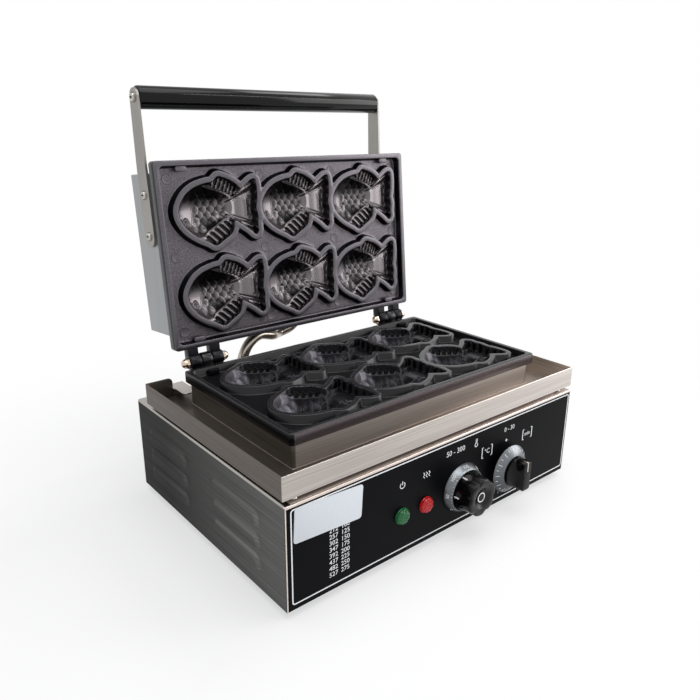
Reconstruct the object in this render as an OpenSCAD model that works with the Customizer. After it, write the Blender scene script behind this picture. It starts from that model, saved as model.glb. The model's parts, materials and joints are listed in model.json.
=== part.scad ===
// Countertop maker for fish-shaped filled cakes: heated base, hinged heated lid,
// two control knobs. Millimetres, +Z up, +Y to the rear, lid shown open on its stop.
// The origin is under the middle of the whole object, on the surface it stands on.

/* [Casing] */
// Width of the casing
casing_w = 380; // [372:1:400]
// Depth of the casing
casing_d = 270; // [264:1:290]
// Height of the casing without its feet
casing_h = 98; // [92:1:110]
// Thickness of the steel sheet
sheet_t = 1.2; // [0.8:0.1:1.5]
// Height of a rubber foot
foot_h = 8; // [6:1:14]
// Radius of a rubber foot
foot_r = 12; // [10:1:16]
// Distance of a foot's centre from the casing's edges
foot_inset = 36; // [32:1:48]

/* [Louvres] */
// Length of a pressed louvre
louvre_l = 82; // [60:1:90]
// Height of a pressed louvre
louvre_h = 14; // [11:1:16]
// How far a louvre stands out of the side
louvre_out = 4.5; // [3.5:0.5:6]
// Distance between louvres, one above the other
louvre_pitch = 21; // [19:1:24]

/* [Spill tray] */
// Width of the spill tray
tray_w = 382; // [372:1:390]
// Distance of the tray's back wall in front of the casing's back
tray_back_gap = 25.7; // [23:0.1:32]
// Height of the tray's walls
tray_h = 21.5; // [16:0.5:23]
// Gap between the deck and the tray
tray_gap = 4; // [3:0.5:6]
// Room between a rear bracket and the tray's short back wall beside it
bracket_room = 1; // [0.6:0.1:3]

/* [Plates] */
// Width of a baking plate
plate_w = 322; // [320:1:334]
// Depth of a baking plate
plate_d = 186; // [184:1:194]
// Height of a plate's rim
rim_h = 11; // [10:0.5:14]
// Width of the rim's top
rim_w = 5.2; // [4:0.2:6.5]
// Depth of the shallow pan inside the rim
pan_depth = 8; // [5:0.5:8.5]
// Depth of a fish mould below the rim
mould_depth = 17; // [14:0.5:18]
// Width of the flat land round a mould
land_w = 5.4; // [4:0.2:6]
// Distance between moulds, side by side
mould_pitch_x = 95.6; // [93:0.2:98]
// Distance between moulds, front to back
mould_pitch_y = 83.8; // [82:0.2:86]
// Depth of the block under the rim that takes the heater
block_h = 12; // [11:0.5:14]
// Height of the frame that carries the lower plate above the tray's floor
riser_h = 23.4; // [21:0.2:28]

/* [Hinges] */
// Distance of the hinge axis in front of the casing's back
hinge_to_back = 37.8; // [37:0.2:44]
// Distance of the hinge axis behind the plates
hinge_back = 14.2; // [13:0.2:18]
// Height of the hinge axis above the lower rim
hinge_rise = 1.7; // [1:0.1:2.5]
// Distance of a hinge's middle from the middle of the plate
hinge_x = 129.5; // [110:0.5:134]
// Width of one hinge knuckle
knuckle_w = 12; // [9:0.5:13]
// Radius of a hinge knuckle
knuckle_r = 8; // [7:0.2:8.4]
// Radius of a hinge bolt
bolt_r = 3; // [2:0.5:3.5]
// Angle of the open lid from closed, in degrees
open_angle = 95.7; // [85:0.1:98]

/* [Lid] */
// Width of the lid's shell
lid_w = 305; // [300:1:309]
// Depth of the lid's shell
lid_d = 165; // [161:1:172]
// Height of the lid's shell
lid_h = 63; // [50:1:70]

/* [Handle] */
// Radius of the handle's grip
grip_r = 11; // [9:0.5:14]
// Distance of the grip's axis in front of the plate's front edge
grip_reach = 61; // [40:1:80]
// Distance that the grip's axis lies below the middle of the arm screws
grip_drop = 3.4; // [0:0.2:6]
// Thickness of a handle arm
arm_t = 2.5; // [2:0.1:3]
// Radius of an arm's end at the screws
arm_r = 11; // [9:0.5:13]
// Radius of an arm's end at the grip
arm_grip_r = 9; // [7:0.5:9]
// Distance of the first arm screw behind the lid shell's front
arm_screw_front = 21; // [16:1:30]
// Distance between the two arm screws
arm_screw_gap = 41; // [30:1:50]

/* [Controls] */
// Height of the controls' middle above the casing's bottom
control_z = 40.5; // [36:0.5:48]
// Place of the green lamp, across
green_x = -65; // [-72:1:-60]
// Place of the red lamp, across
red_x = -34.5; // [-42:0.5:-30]
// Place of the thermostat, across
thermostat_x = 15; // [8:1:17]
// Place of the timer, across
timer_x = 81; // [76:1:110]
// Radius of the lamps' lenses
lens_r = 7.5; // [6:0.5:9]
// Radius of both dials
dial_r = 25.5; // [24:0.5:28]
// Radius of the thermostat knob
knob_r = 20; // [18:0.5:20.5]
// Distance of the thermostat knob's face from the panel
knob_reach = 27.5; // [24:0.5:32]
// Distance of the timer knob's face from the panel
timer_reach = 29; // [26:0.5:34]
// Radius of both control shafts
shaft_r = 3; // [2.5:0.5:3.5]

/* [Wiring] */
// Radius of the conduit between base and lid
conduit_r = 6; // [4.5:0.5:7]
// Place of the conduit's lower end, across
conduit_x = -70; // [-76:1:-60]
// Radius of the bore for a power cord
cord_bore_r = 4.25; // [3:0.25:5]

/* [Hidden] */
$fn = 64;

// Small gaps: between pieces that slide together, between a running pin and its bore
slip = 0.2;
run_gap = 0.06;
// Gap between the two rims when the lid is closed
mate_gap = 0.4;
// Overshoot of a cut past the face it opens
cut = 1;

// Levels above the surface that the object stands on
base_z = foot_h;
deck_z = base_z + casing_h;
tray_z = deck_z + tray_gap;
tray_floor_z = tray_z + sheet_t;
flange_z = tray_floor_z + riser_h;
rim_z = flange_z + rim_h;
block_z = flange_z - block_h;
control_h = base_z + control_z;

// Depths measured back from the casing's front
tray_front = 1.3;
tray_back = casing_d - tray_back_gap;
tray_d = tray_back - tray_front;
bracket_w = 15.6;
bracket_x = plate_w / 2 - 7.4;
tray_back_w = tray_w / 2 - bracket_x - bracket_w / 2 - bracket_room;
hinge_y = casing_d - hinge_to_back;
plate_back = hinge_y - hinge_back;
plate_front = plate_back - plate_d;
plate_mid = plate_back - plate_d / 2;
hinge_z = rim_z + hinge_rise;

// The lid, measured closed
upper_rim_z = rim_z + mate_gap;
upper_flange_z = upper_rim_z + rim_h;
upper_block_z = upper_flange_z + block_h;
lid_front = plate_mid - lid_d / 2;
lid_top = upper_flange_z + lid_h;
lid_outer = lid_top + sheet_t;
arm_z = upper_flange_z + lid_h / 2;
arm_y1 = lid_front + arm_screw_front;
arm_y2 = arm_y1 + arm_screw_gap;
grip_y = plate_front - grip_reach;
grip_z = arm_z - grip_drop;

// Sizes of the screws: shank radius, head radius, head height
m3 = [1.5, 2.9, 1.9];
m4 = [2, 3.8, 2.4];
m5 = [2.5, 4.6, 3];
nut_m5_r = 4.6;
nut_m5_h = 4;

// Heater tube, clamp plates and the block's inset
heater_r = 3.5;
heater_pitch = 38;
heater_l = 210;
heater_drop = 26;
clamp_t = 1.5;
block_inset_x = 19;
block_inset_y = 15;
block_w = plate_w - 2 * block_inset_x;
block_d = plate_d - 2 * block_inset_y;
riser_inset = 4;
riser_w = plate_w - 2 * riser_inset;
riser_d = plate_d - 2 * riser_inset;
riser_lip = 8;
riser_screw_x = riser_w / 2 - sheet_t - riser_lip / 2;
riser_screw_y = 60;
stud_x = block_w / 2 - 6;
stud_y = block_d / 2 - 5;
stud_in = 6;

// Fish outline: the mould's edge, nose at -X, back fin at +Y, read off as a flat shape
mould_points = [[-46, 0], [-44, 8], [-37, 17.5], [-27, 24], [-15, 27.5], [-6.5, 28.8], [0, 33.5], [6, 32.5],
    [14, 29.5], [21, 25], [25.8, 20.8], [32, 24.6], [39, 29], [44.3, 28.4], [45.6, 20], [44.8, 8], [43.2, 0],
    [44.6, -9], [43.6, -17], [44, -24], [39.8, -27.6], [31, -20.6], [22, -14.6], [16, -12], [14.6, -18],
    [11, -24.5], [2, -30], [-8, -34.8], [-16, -30.6], [-27, -25], [-37, -17.6], [-43.8, -8.5]];
// Each step of a mould: depth below the rim as a share, and how far the outline has drawn in
mould_steps = [[0.35, 0], [0.6, 2.6], [0.82, 6], [1, 10.5]];
mould_x0 = 0.85;
mould_y0 = 0.6;
pad_r = 5;
pad_h = 0.6;
pad_rows = [-76, 0, 76];
pad_columns = [-145, -40, 55, 146];
tab_x = 132;
tab_r = 5;
tab_out = 4.5;
tab_drop = 2;

// Glands at the conduit's two ends
gland_base_h = 9;
gland_base_r = 10;
gland_lid_r = 10;
gland_lid_h = 8;

// The object's reach to the front and, with the lid open, to the rear
front_reach = -timer_reach;
cover_screw_inset = 8;
function opened_y(y, z) = hinge_y + (y - hinge_y) * cos(open_angle) + (z - hinge_z) * sin(open_angle);
rear_reach = max(opened_y(lid_front, lid_outer),
    opened_y(lid_front + cover_screw_inset - m3[1], lid_outer + m3[2]));
mid_y = (front_reach + rear_reach) / 2;

function spline_point(a, b, c, d, t) = 0.5 * (2 * b + (c - a) * t + (2 * a - 5 * b + 4 * c - d) * t * t
    + (3 * b - a - 3 * c + d) * t * t * t);
function smooth_loop(p, n) = let (m = len(p)) [for (i = [0:m - 1], k = [0:n - 1])
    spline_point(p[(i + m - 1) % m], p[i], p[(i + 1) % m], p[(i + 2) % m], k / n)];

steel = "silver";
dark_steel = "dimgray";
coating = [0.16, 0.15, 0.18];
black = [0.07, 0.07, 0.08];

// Moves a piece from the casing's own depths to the object's frame
module base_pose() {
    translate([0, -mid_y, 0])
        children();
}

// Turns a piece of the closed lid open about the hinge axis
module lid_pose() {
    translate([0, hinge_y - mid_y, hinge_z])
        rotate([-open_angle, 0, 0])
            translate([0, -hinge_y, -hinge_z])
                children();
}

module box(x0, x1, y0, y1, z0, z1) {
    translate([x0, y0, z0])
        cube([x1 - x0, y1 - y0, z1 - z0]);
}

// Slab centred across, with vertical corners of radius r
module slab(w, d, h, r) {
    linear_extrude(h)
        rounded(w, d, r);
}

module rounded(w, d, r) {
    union() {
        square([w - 2 * r, d], center = true);
        square([w, d - 2 * r], center = true);
        for (sx = [-1, 1], sy = [-1, 1])
            translate([sx * (w / 2 - r), sy * (d / 2 - r)])
                circle(r);
    }
}

module mirror_pair() {
    children();
    mirror([1, 0, 0])
        children();
}

// Round pan-head screw with a cross recess, head at the origin looking up +Z
module pan_screw(size, length) {
    difference() {
        union() {
            translate([0, 0, -length])
                cylinder(r = size[0], h = length + 0.01);
            cylinder(r1 = size[1], r2 = size[1] * 0.72, h = size[2]);
        }
        translate([0, 0, size[2] - 0.7])
            for (a = [0, 90])
                rotate([0, 0, a])
                    translate([-size[1] * 0.5, -0.4, 0])
                        cube([size[1], 0.8, cut]);
    }
}

module hex_nut(r, h, bore) {
    difference() {
        cylinder(r = r, h = h, $fn = 6);
        translate([0, 0, -cut])
            cylinder(r = bore, h = h + 2 * cut);
    }
}

/* Casing: deck and sides from one sheet, louvres pressed outwards */

louvre_big_r = (louvre_h * louvre_h + louvre_out * louvre_out) / (2 * louvre_out);
louvre_rows = [for (i = [0:2]) base_z + casing_h * 0.2 + i * louvre_pitch];
louvre_mids = [casing_d * 0.29, casing_d * 0.76];

// Rounded ridge: a long cylinder with a ball at each end, sunk in the side
module ridge(r) {
    half = louvre_l / 2 - louvre_h;
    translate([louvre_out - louvre_big_r, 0, 0]) {
        rotate([90, 0, 0])
            translate([0, 0, -half])
                cylinder(r = r, h = 2 * half);
        for (s = [-1, 1])
            translate([0, s * half, 0])
                sphere(r = r);
    }
}

module louvre_places() {
    for (z = louvre_rows, y = louvre_mids)
        translate([casing_w / 2, y, z])
            children();
}

module louvre_skin() {
    intersection() {
        ridge(louvre_big_r);
        box(-0.01, louvre_out + cut, -louvre_l, louvre_l, 0, louvre_h + cut);
    }
}

module louvre_hollow() {
    intersection() {
        ridge(louvre_big_r - sheet_t);
        box(-sheet_t - cut, louvre_out + cut, -louvre_l, louvre_l, -0.4, louvre_h + cut);
    }
}

casing_lip = 12;
front_t = 0.6;
panel_tab_w = 24;
panel_screw_x = casing_w / 2 - 14;
panel_screw_ys = [casing_lip / 2 + front_t + sheet_t, casing_d - 8];

// Holes for the screws that hold the panels' tabs, below level z
module panel_screw_holes(z) {
    for (sx = [-1, 1], y = panel_screw_ys)
        translate([sx * panel_screw_x, y, z - 3 * sheet_t])
            cylinder(r = m3[0] + 0.05, h = 5 * sheet_t);
}

// Tabs turned in at a panel's four corners, between depths y0 and y1
module corner_tabs(y0, y1) {
    for (z = [base_z + sheet_t, panel_top - sheet_t])
        mirror_pair()
            box(panel_w / 2 - panel_tab_w, panel_w / 2, y0, y1, z, z + sheet_t);
}

module deck_holes() {
    for (sx = [-1, 1], sy = [-1, 1]) {
        translate([sx * riser_screw_x, plate_mid + sy * riser_screw_y, deck_z - 3 * sheet_t])
            cylinder(r = m3[0] + 0.05, h = 5 * sheet_t);
        translate([sx * stud_x, plate_mid + sy * stud_y, deck_z - 3 * sheet_t])
            cylinder(r = m5[0] + 0.1, h = 5 * sheet_t);
    }
    for (sx = [-1, 1])
        translate([sx * bracket_x, bracket_screw_y, deck_z - 3 * sheet_t])
            cylinder(r = m3[0] + 0.05, h = 5 * sheet_t);
    translate([conduit_x, conduit_y, deck_z - 3 * sheet_t])
        cylinder(r = gland_base_r - 2.5 + 0.1, h = 5 * sheet_t);
    for (sy = [-1, 1])
        translate([-heater_l / 2 - heater_bend, plate_mid + sy * 1.5 * heater_pitch, deck_z - 3 * sheet_t])
            cylinder(r = heater_r + 1.5, h = 5 * sheet_t);
    translate([bulb_x, bulb_y, deck_z - 3 * sheet_t])
        cylinder(r = 4, h = 5 * sheet_t);
    panel_screw_holes(deck_z);
}

module casing() {
    color(steel)
        base_pose()
            difference() {
                union() {
                    box(-casing_w / 2, casing_w / 2, front_t, casing_d, deck_z - sheet_t, deck_z);
                    mirror_pair() {
                        box(casing_w / 2 - sheet_t, casing_w / 2, front_t, casing_d, base_z, deck_z);
                        louvre_places()
                            louvre_skin();
                    }
                }
                mirror_pair()
                    louvre_places()
                        louvre_hollow();
                deck_holes();
            }
}

// Holes in the front for the lamps and the controls
module control_holes(lamp_hole_r, shaft_hole_r) {
    for (x = [green_x, red_x])
        translate([x, 0, control_h])
            rotate([90, 0, 0])
                cylinder(r = lamp_hole_r, h = 20, center = true);
    for (x = [thermostat_x, timer_x])
        translate([x, 0, control_h])
            rotate([90, 0, 0])
                cylinder(r = shaft_hole_r, h = 20, center = true);
}

lamp_body_r = 5;
bush_r = 5;
panel_w = casing_w - 2 * sheet_t - 2 * slip;
panel_top = deck_z - sheet_t - slip;

module front_panel() {
    color(steel)
        base_pose()
            difference() {
                union() {
                    box(-panel_w / 2, panel_w / 2, front_t, front_t + sheet_t, base_z, panel_top);
                    mirror_pair()
                        box(panel_w / 2 - sheet_t, panel_w / 2, front_t, front_t + sheet_t + casing_lip,
                            base_z + sheet_t, panel_top);
                    corner_tabs(front_t, front_t + sheet_t + casing_lip);
                }
                control_holes(lamp_body_r + 0.1, bush_r + 0.1);
                for (z = [base_z + sheet_t, deck_z])
                    panel_screw_holes(z);
            }
}

overlay_w = casing_w - 1.6;
overlay_h = casing_h - 2.6;

module panel_overlay() {
    color(black)
        base_pose()
            difference() {
                box(-overlay_w / 2, overlay_w / 2, 0, front_t, base_z + 0.4, base_z + 0.4 + overlay_h);
                control_holes(lamp_body_r + 0.1, bush_r + 0.1);
            }
}

label_w = 70;
label_h = 32;
label_x = -147;
label_z = 76;
label_t = 0.3;

module blank_label() {
    color("aliceblue")
        base_pose()
            translate([label_x, 0, base_z + label_z])
                rotate([90, 3, 0])
                    slab(label_w, label_h, label_t, 3);
}

vent_l = 60;
gland_x = 120;
gland_z = 30;
gland_hole_r = 8;

module back_panel() {
    y1 = casing_d - 0.2;
    color(steel)
        base_pose()
            difference() {
                union() {
                    box(-panel_w / 2, panel_w / 2, y1 - sheet_t, y1, base_z, panel_top);
                    mirror_pair()
                        box(panel_w / 2 - sheet_t, panel_w / 2, y1 - sheet_t - casing_lip, y1,
                            base_z + sheet_t, panel_top);
                    corner_tabs(y1 - sheet_t - casing_lip, y1);
                }
                for (i = [0:4])
                    translate([-70, y1, base_z + 30 + i * 10])
                        rotate([90, 0, 0])
                            translate([0, 0, -5])
                                slab(vent_l, 4, 10, 1.9);
                translate([gland_x, y1, base_z + gland_z])
                    rotate([90, 0, 0])
                        cylinder(r = gland_hole_r + 0.1, h = 20, center = true);
                translate([gland_x - 40, y1, base_z + gland_z])
                    rotate([90, 0, 0])
                        cylinder(r = m5[0] + 0.1, h = 20, center = true);
                for (z = [base_z + sheet_t, deck_z])
                    panel_screw_holes(z);
            }
}

bottom_vent_l = 90;
bottom_w = panel_w - 2 * sheet_t - 2 * slip;
bottom_front = front_t + sheet_t + slip;
bottom_back = casing_d - 0.2 - sheet_t - slip;

module bottom_cover() {
    color(dark_steel)
        base_pose()
            difference() {
                union() {
                    box(-panel_w / 2, panel_w / 2, bottom_front, bottom_back, base_z, base_z + sheet_t - 0.05);
                    mirror_pair()
                        box(bottom_w / 2 - sheet_t, bottom_w / 2, bottom_front + casing_lip + 2,
                            bottom_back - casing_lip - 2, base_z, base_z + 14);
                }
                foot_places()
                    translate([0, 0, base_z - cut])
                        cylinder(r = m4[0] + 0.05, h = 4);
                for (i = [0:5])
                    translate([0, casing_d / 2 + (i - 2.5) * 24, base_z - cut])
                        slab(bottom_vent_l, 5, 5, 2.4);
                panel_screw_holes(base_z + sheet_t);
            }
}

module foot_places() {
    for (sx = [-1, 1], y = [foot_inset, casing_d - foot_inset])
        translate([sx * (casing_w / 2 - foot_inset), y, 0])
            children();
}

foot_recess = foot_h * 0.45;

module feet() {
    color(black)
        base_pose()
            foot_places()
                difference() {
                    cylinder(r1 = foot_r - 1, r2 = foot_r, h = foot_h);
                    translate([0, 0, -cut])
                        cylinder(r = m4[1] + 0.6, h = foot_recess + cut);
                    cylinder(r = m4[0] + 0.05, h = foot_h + cut);
                }
}

module foot_screws() {
    color(steel)
        base_pose()
            foot_places()
                translate([0, 0, foot_recess])
                    mirror([0, 0, 1])
                        pan_screw(m4, foot_h - foot_recess + 5);
}

// Through the deck and the bottom into the panels' tabs; none shows on a side
module casing_screws() {
    color(steel)
        base_pose()
            mirror_pair()
                for (y = panel_screw_ys) {
                    translate([panel_screw_x, y, deck_z])
                        pan_screw(m3, 6);
                    translate([panel_screw_x, y, base_z])
                        mirror([0, 0, 1])
                            pan_screw(m3, 6);
                }
}

/* Spill tray, the frame on it and the brackets behind it */

tray_mid = tray_front + tray_d / 2;
window_w = riser_w - 2 * sheet_t - 2 * riser_lip;
window_d = riser_d - 2 * sheet_t - 2 * riser_lip;
notch_w = tray_w - 2 * tray_back_w;
corner_r = 4;

module spill_tray() {
    color(steel)
        base_pose()
            difference() {
                translate([0, tray_mid, tray_z])
                    slab(tray_w, tray_d, tray_h, 1.2);
                translate([0, tray_mid, tray_floor_z])
                    slab(tray_w - 2 * sheet_t, tray_d - 2 * sheet_t, tray_h, 0.6);
                box(-window_w / 2, window_w / 2, plate_mid - window_d / 2, plate_mid + window_d / 2,
                    tray_z - cut, tray_floor_z + cut);
                translate([0, tray_back, tray_floor_z + 0.5 + (tray_h + corner_r) / 2])
                    rotate([90, 0, 0])
                        linear_extrude(6 * sheet_t, center = true)
                            notch_outline();
                for (sx = [-1, 1], sy = [-1, 1])
                    translate([sx * riser_screw_x, plate_mid + sy * riser_screw_y, tray_z - cut])
                        cylinder(r = m3[0] + 0.05, h = 5);
            }
}

// Back wall cut away between its two short ends, whose top corners are round
module notch_outline() {
    h = tray_h + corner_r;
    top = tray_z + tray_h - (tray_floor_z + 0.5 + h / 2);
    square([notch_w, h], center = true);
    for (sx = [-1, 1])
        difference() {
            translate([sx * (notch_w / 2 + corner_r / 2 - 0.05), top - corner_r / 2 + cut / 2])
                square([corner_r + 0.1, corner_r + cut], center = true);
            translate([sx * (notch_w / 2 + corner_r), top - corner_r])
                circle(corner_r);
        }
}

module tray_spacers() {
    color(dark_steel)
        base_pose()
            for (sx = [-1, 1], sy = [-1, 1])
                translate([sx * riser_screw_x, plate_mid + sy * riser_screw_y, deck_z])
                    difference() {
                        cylinder(r = riser_lip / 2 - 0.2, h = tray_gap);
                        translate([0, 0, -cut])
                            cylinder(r = m3[0] + 0.05, h = tray_gap + 2 * cut);
                    }
}

module riser_frame() {
    color(steel)
        base_pose()
            difference() {
                translate([0, plate_mid, tray_floor_z])
                    slab(riser_w, riser_d, riser_h, 3);
                translate([0, plate_mid, tray_floor_z + sheet_t])
                    slab(riser_w - 2 * sheet_t, riser_d - 2 * sheet_t, riser_h, 1.8);
                box(-window_w / 2, window_w / 2, plate_mid - window_d / 2, plate_mid + window_d / 2,
                    tray_floor_z - cut, tray_floor_z + 2 * sheet_t);
                for (sx = [-1, 1], sy = [-1, 1])
                    translate([sx * riser_screw_x, plate_mid + sy * riser_screw_y, tray_floor_z - cut])
                        cylinder(r = m3[0] + 0.05, h = 5);
            }
}

bracket_front = plate_back + 3;
bracket_rise = 14;
bracket_y = tray_back + 10;
bracket_screw_y = casing_d - 8;

module tray_screws() {
    color(steel)
        base_pose() {
            for (sx = [-1, 1], sy = [-1, 1])
                translate([sx * riser_screw_x, plate_mid + sy * riser_screw_y, tray_floor_z + sheet_t])
                    pan_screw(m3, 9);
            for (sx = [-1, 1])
                translate([sx * bracket_x, bracket_screw_y, deck_z + 1.5])
                    pan_screw(m3, 9);
        }
}

// Bent strip: foot on the deck, short upright, flat tongue forwards with round corners
module rear_bracket() {
    t = 1.5;
    r = 5;
    difference() {
        union() {
            box(-bracket_w / 2, bracket_w / 2, bracket_y, casing_d - 1.5, deck_z, deck_z + t);
            box(-bracket_w / 2, bracket_w / 2, bracket_y, bracket_y + t, deck_z, deck_z + bracket_rise);
            translate([0, 0, deck_z + bracket_rise - t])
                linear_extrude(t)
                    union() {
                        translate([-bracket_w / 2, bracket_front + r])
                            square([bracket_w, bracket_y + t - bracket_front - r]);
                        translate([-bracket_w / 2 + r, bracket_front])
                            square([bracket_w - 2 * r, r + 0.01]);
                        for (s = [-1, 1])
                            translate([s * (bracket_w / 2 - r), bracket_front + r])
                                circle(r);
                    }
        }
        translate([0, bracket_screw_y, deck_z - cut])
            cylinder(r = m3[0] + 0.05, h = 5);
    }
}

module rear_bracket_left() {
    color(steel)
        base_pose()
            translate([-bracket_x, 0, 0])
                rear_bracket();
}

module rear_bracket_right() {
    color(steel)
        base_pose()
            translate([bracket_x, 0, 0])
                rear_bracket();
}

/* Baking plates: both are drawn in the plate's plan, moulds opening towards +Z */

module mould_outline() {
    polygon(smooth_loop(mould_points, 2));
}

// The fish lie with their backs to the front of the closed machine
module mould_places() {
    for (i = [-1:1], j = [-0.5, 0.5])
        translate([mould_x0 + i * mould_pitch_x, -mould_y0 + j * mould_pitch_y])
            mirror([0, 1])
                children();
}

// Pan with rim, block below, lands and moulds; top of the rim is z = 0
module plate_casting() {
    floor_z = -pan_depth;
    difference() {
        union() {
            difference() {
                translate([0, 0, -rim_h])
                    slab(plate_w, plate_d, rim_h, 3.5);
                translate([0, 0, floor_z])
                    slab(plate_w - 2 * rim_w, plate_d - 2 * rim_w, pan_depth + cut, 5);
            }
            translate([0, 0, -rim_h - block_h])
                slab(block_w, block_d, block_h + 0.5, 6);
            translate([0, 0, floor_z - 0.5])
                linear_extrude(pan_depth + 0.5)
                    mould_places()
                        offset(r = land_w, $fn = 24)
                            mould_outline();
            for (x = pad_columns, y = pad_rows)
                translate([x, y, floor_z - 0.5])
                    cylinder(r = pad_r, h = pad_h + 0.5);
            for (sx = [-1, 1], sy = [-1, 1])
                translate([sx * tab_x, sy * (plate_d / 2 - rim_w - tab_out + tab_r), floor_z - 0.5])
                    intersection() {
                        cylinder(r = tab_r, h = pan_depth + 0.5 - tab_drop);
                        translate([-tab_r, sy > 0 ? -tab_r : -tab_out + 0.5, 0])
                            cube([2 * tab_r, tab_out + tab_r - 0.5, pan_depth + 1]);
                    }
        }
        for (s = [0:len(mould_steps) - 1])
            translate([0, 0, -mould_depth * mould_steps[s][0]])
                linear_extrude(mould_depth * mould_steps[s][0] + cut)
                    mould_places()
                        offset(delta = -mould_steps[s][1])
                            mould_outline();
        for (sx = [-1, 1], sy = [-1, 1])
            translate([sx * stud_x, sy * stud_y, -rim_h - block_h - cut])
                cylinder(r = m5[0] + 0.05, h = stud_in + cut);
    }
}

// One knuckle and its web to the plate's back edge; the plate's rim top is z = 0
module hinge_lug(width, rise, web_z0, web_z1) {
    difference() {
        union() {
            translate([0, plate_d / 2 + hinge_back, rise])
                rotate([0, 90, 0])
                    cylinder(r = knuckle_r, h = width, center = true);
            box(-width / 2, width / 2, plate_d / 2 - rim_w / 2, plate_d / 2 + hinge_back, web_z0, web_z1);
        }
        translate([0, plate_d / 2 + hinge_back, rise])
            rotate([0, 90, 0])
                cylinder(r = bolt_r + run_gap, h = width + 2 * cut, center = true);
    }
}

knuckle_gap = 0.5;
stack_w = 3 * knuckle_w + 2 * knuckle_gap;

module lower_plate() {
    color(coating)
        base_pose()
            translate([0, plate_mid, rim_z])
                union() {
                    plate_casting();
                    for (sx = [-1, 1])
                        translate([sx * hinge_x, 0, 0])
                            hinge_lug(knuckle_w, hinge_rise, -rim_h + 1, -0.5);
                }
}

module upper_plate() {
    color(coating)
        lid_pose()
            translate([0, plate_mid, upper_rim_z])
                mirror([0, 0, 1])
                    difference() {
                        union() {
                            plate_casting();
                            for (sx = [-1, 1], k = [-1, 1])
                                translate([sx * hinge_x + k * (knuckle_w + knuckle_gap), 0, 0])
                                    hinge_lug(knuckle_w, mate_gap - hinge_rise, -rim_h + 1, -mate_gap);
                        }
                        for (sx = [-1, 1], sy = [-1, 1])
                            translate([sx * lid_screw_x, sy * lid_screw_y, -rim_h - cut])
                                cylinder(r = m3[0] + 0.05, h = lid_screw_in + cut);
                    }
}

nut_r = 5.6;
nut_hex_h = 4;
dome_r = 4.6;
bolt_half = stack_w / 2 + nut_hex_h + 1.5;

module hinge_bolts() {
    color(steel)
        base_pose()
            for (sx = [-1, 1])
                translate([sx * hinge_x, hinge_y, hinge_z])
                    rotate([0, 90, 0])
                        cylinder(r = bolt_r, h = 2 * bolt_half, center = true);
}

// Hexagon with a polished dome, threaded on the bolt's end
module dome_nut() {
    difference() {
        union() {
            cylinder(r = nut_r, h = nut_hex_h, $fn = 6);
            translate([0, 0, nut_hex_h - 0.3])
                intersection() {
                    sphere(r = dome_r);
                    cylinder(r = dome_r + 1, h = dome_r + 1);
                }
        }
        translate([0, 0, -cut])
            cylinder(r = bolt_r + 0.02, h = nut_hex_h + 1.5 + 0.1 + cut);
    }
}

module hinge_nuts() {
    color("gold")
        base_pose()
            for (sx = [-1, 1], k = [-1, 1])
                translate([sx * hinge_x + k * stack_w / 2, hinge_y, hinge_z])
                    rotate([0, k * 90, 0])
                        translate([0, 0, 0.1])
                            dome_nut();
}

/* Heaters: four long runs joined by half turns, both ends bent square */

heater_bend = 12;

// Tube in the plane z = 0, its two ends turned towards -Z
module heater_tube(drop) {
    for (i = [0:3])
        translate([-heater_l / 2, (i - 1.5) * heater_pitch, 0])
            rotate([0, 90, 0])
                cylinder(r = heater_r, h = heater_l);
    for (i = [0:2])
        translate([(i % 2 == 0 ? 1 : -1) * heater_l / 2, (i - 1) * heater_pitch, 0])
            rotate([0, 0, i % 2 == 0 ? -90 : 90])
                rotate_extrude(angle = 180)
                    translate([heater_pitch / 2, 0])
                        circle(heater_r);
    for (s = [-1, 1])
        translate([-heater_l / 2, s * 1.5 * heater_pitch, -heater_bend]) {
            rotate([90, 0, 0])
                rotate([0, 0, 90])
                    rotate_extrude(angle = 90)
                        translate([heater_bend, 0])
                            circle(heater_r);
            translate([-heater_bend, 0, -drop])
                cylinder(r = heater_r, h = drop);
        }
}

lower_heater_z = block_z - heater_r;
lower_clamp_z = block_z - 2 * heater_r - clamp_t;

module lower_heater() {
    color("slategray")
        base_pose()
            translate([0, plate_mid, lower_heater_z])
                heater_tube(heater_drop);
}

// Sheet that presses the tube against the block, with slots for the tube's ends
module clamp_plate() {
    difference() {
        slab(block_w, block_d, clamp_t, 4);
        for (sx = [-1, 1], sy = [-1, 1])
            translate([sx * stud_x, sy * stud_y, -cut])
                cylinder(r = m5[0] + 0.1, h = clamp_t + 2 * cut);
        for (s = [-1, 1])
            translate([-heater_l / 2 - heater_bend / 2, s * 1.5 * heater_pitch, -cut])
                slab(heater_bend + 4 * heater_r, 2 * heater_r + 2, clamp_t + 2 * cut, heater_r);
    }
}

module lower_clamp_plate() {
    color(dark_steel)
        base_pose()
            translate([0, plate_mid, lower_clamp_z])
                clamp_plate();
}

module insulation_pad(h) {
    difference() {
        slab(block_w - 4, block_d - 4, h, 4);
        for (sx = [-1, 1], sy = [-1, 1])
            translate([sx * stud_x, sy * stud_y, -cut])
                cylinder(r = nut_m5_r + 1, h = h + 2 * cut);
        for (s = [-1, 1])
            translate([-heater_l / 2 - heater_bend / 2, s * 1.5 * heater_pitch, -cut])
                slab(heater_bend + 4 * heater_r, 2 * heater_r + 2, h + 2 * cut, heater_r);
    }
}

lower_pad_h = lower_clamp_z - deck_z;

module lower_insulation() {
    color("ivory")
        base_pose()
            translate([0, plate_mid, deck_z])
                difference() {
                    insulation_pad(lower_pad_h);
                    translate([bulb_x, bulb_y - plate_mid, -cut])
                        cylinder(r = 6, h = lower_pad_h + 2 * cut);
                }
}

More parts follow.
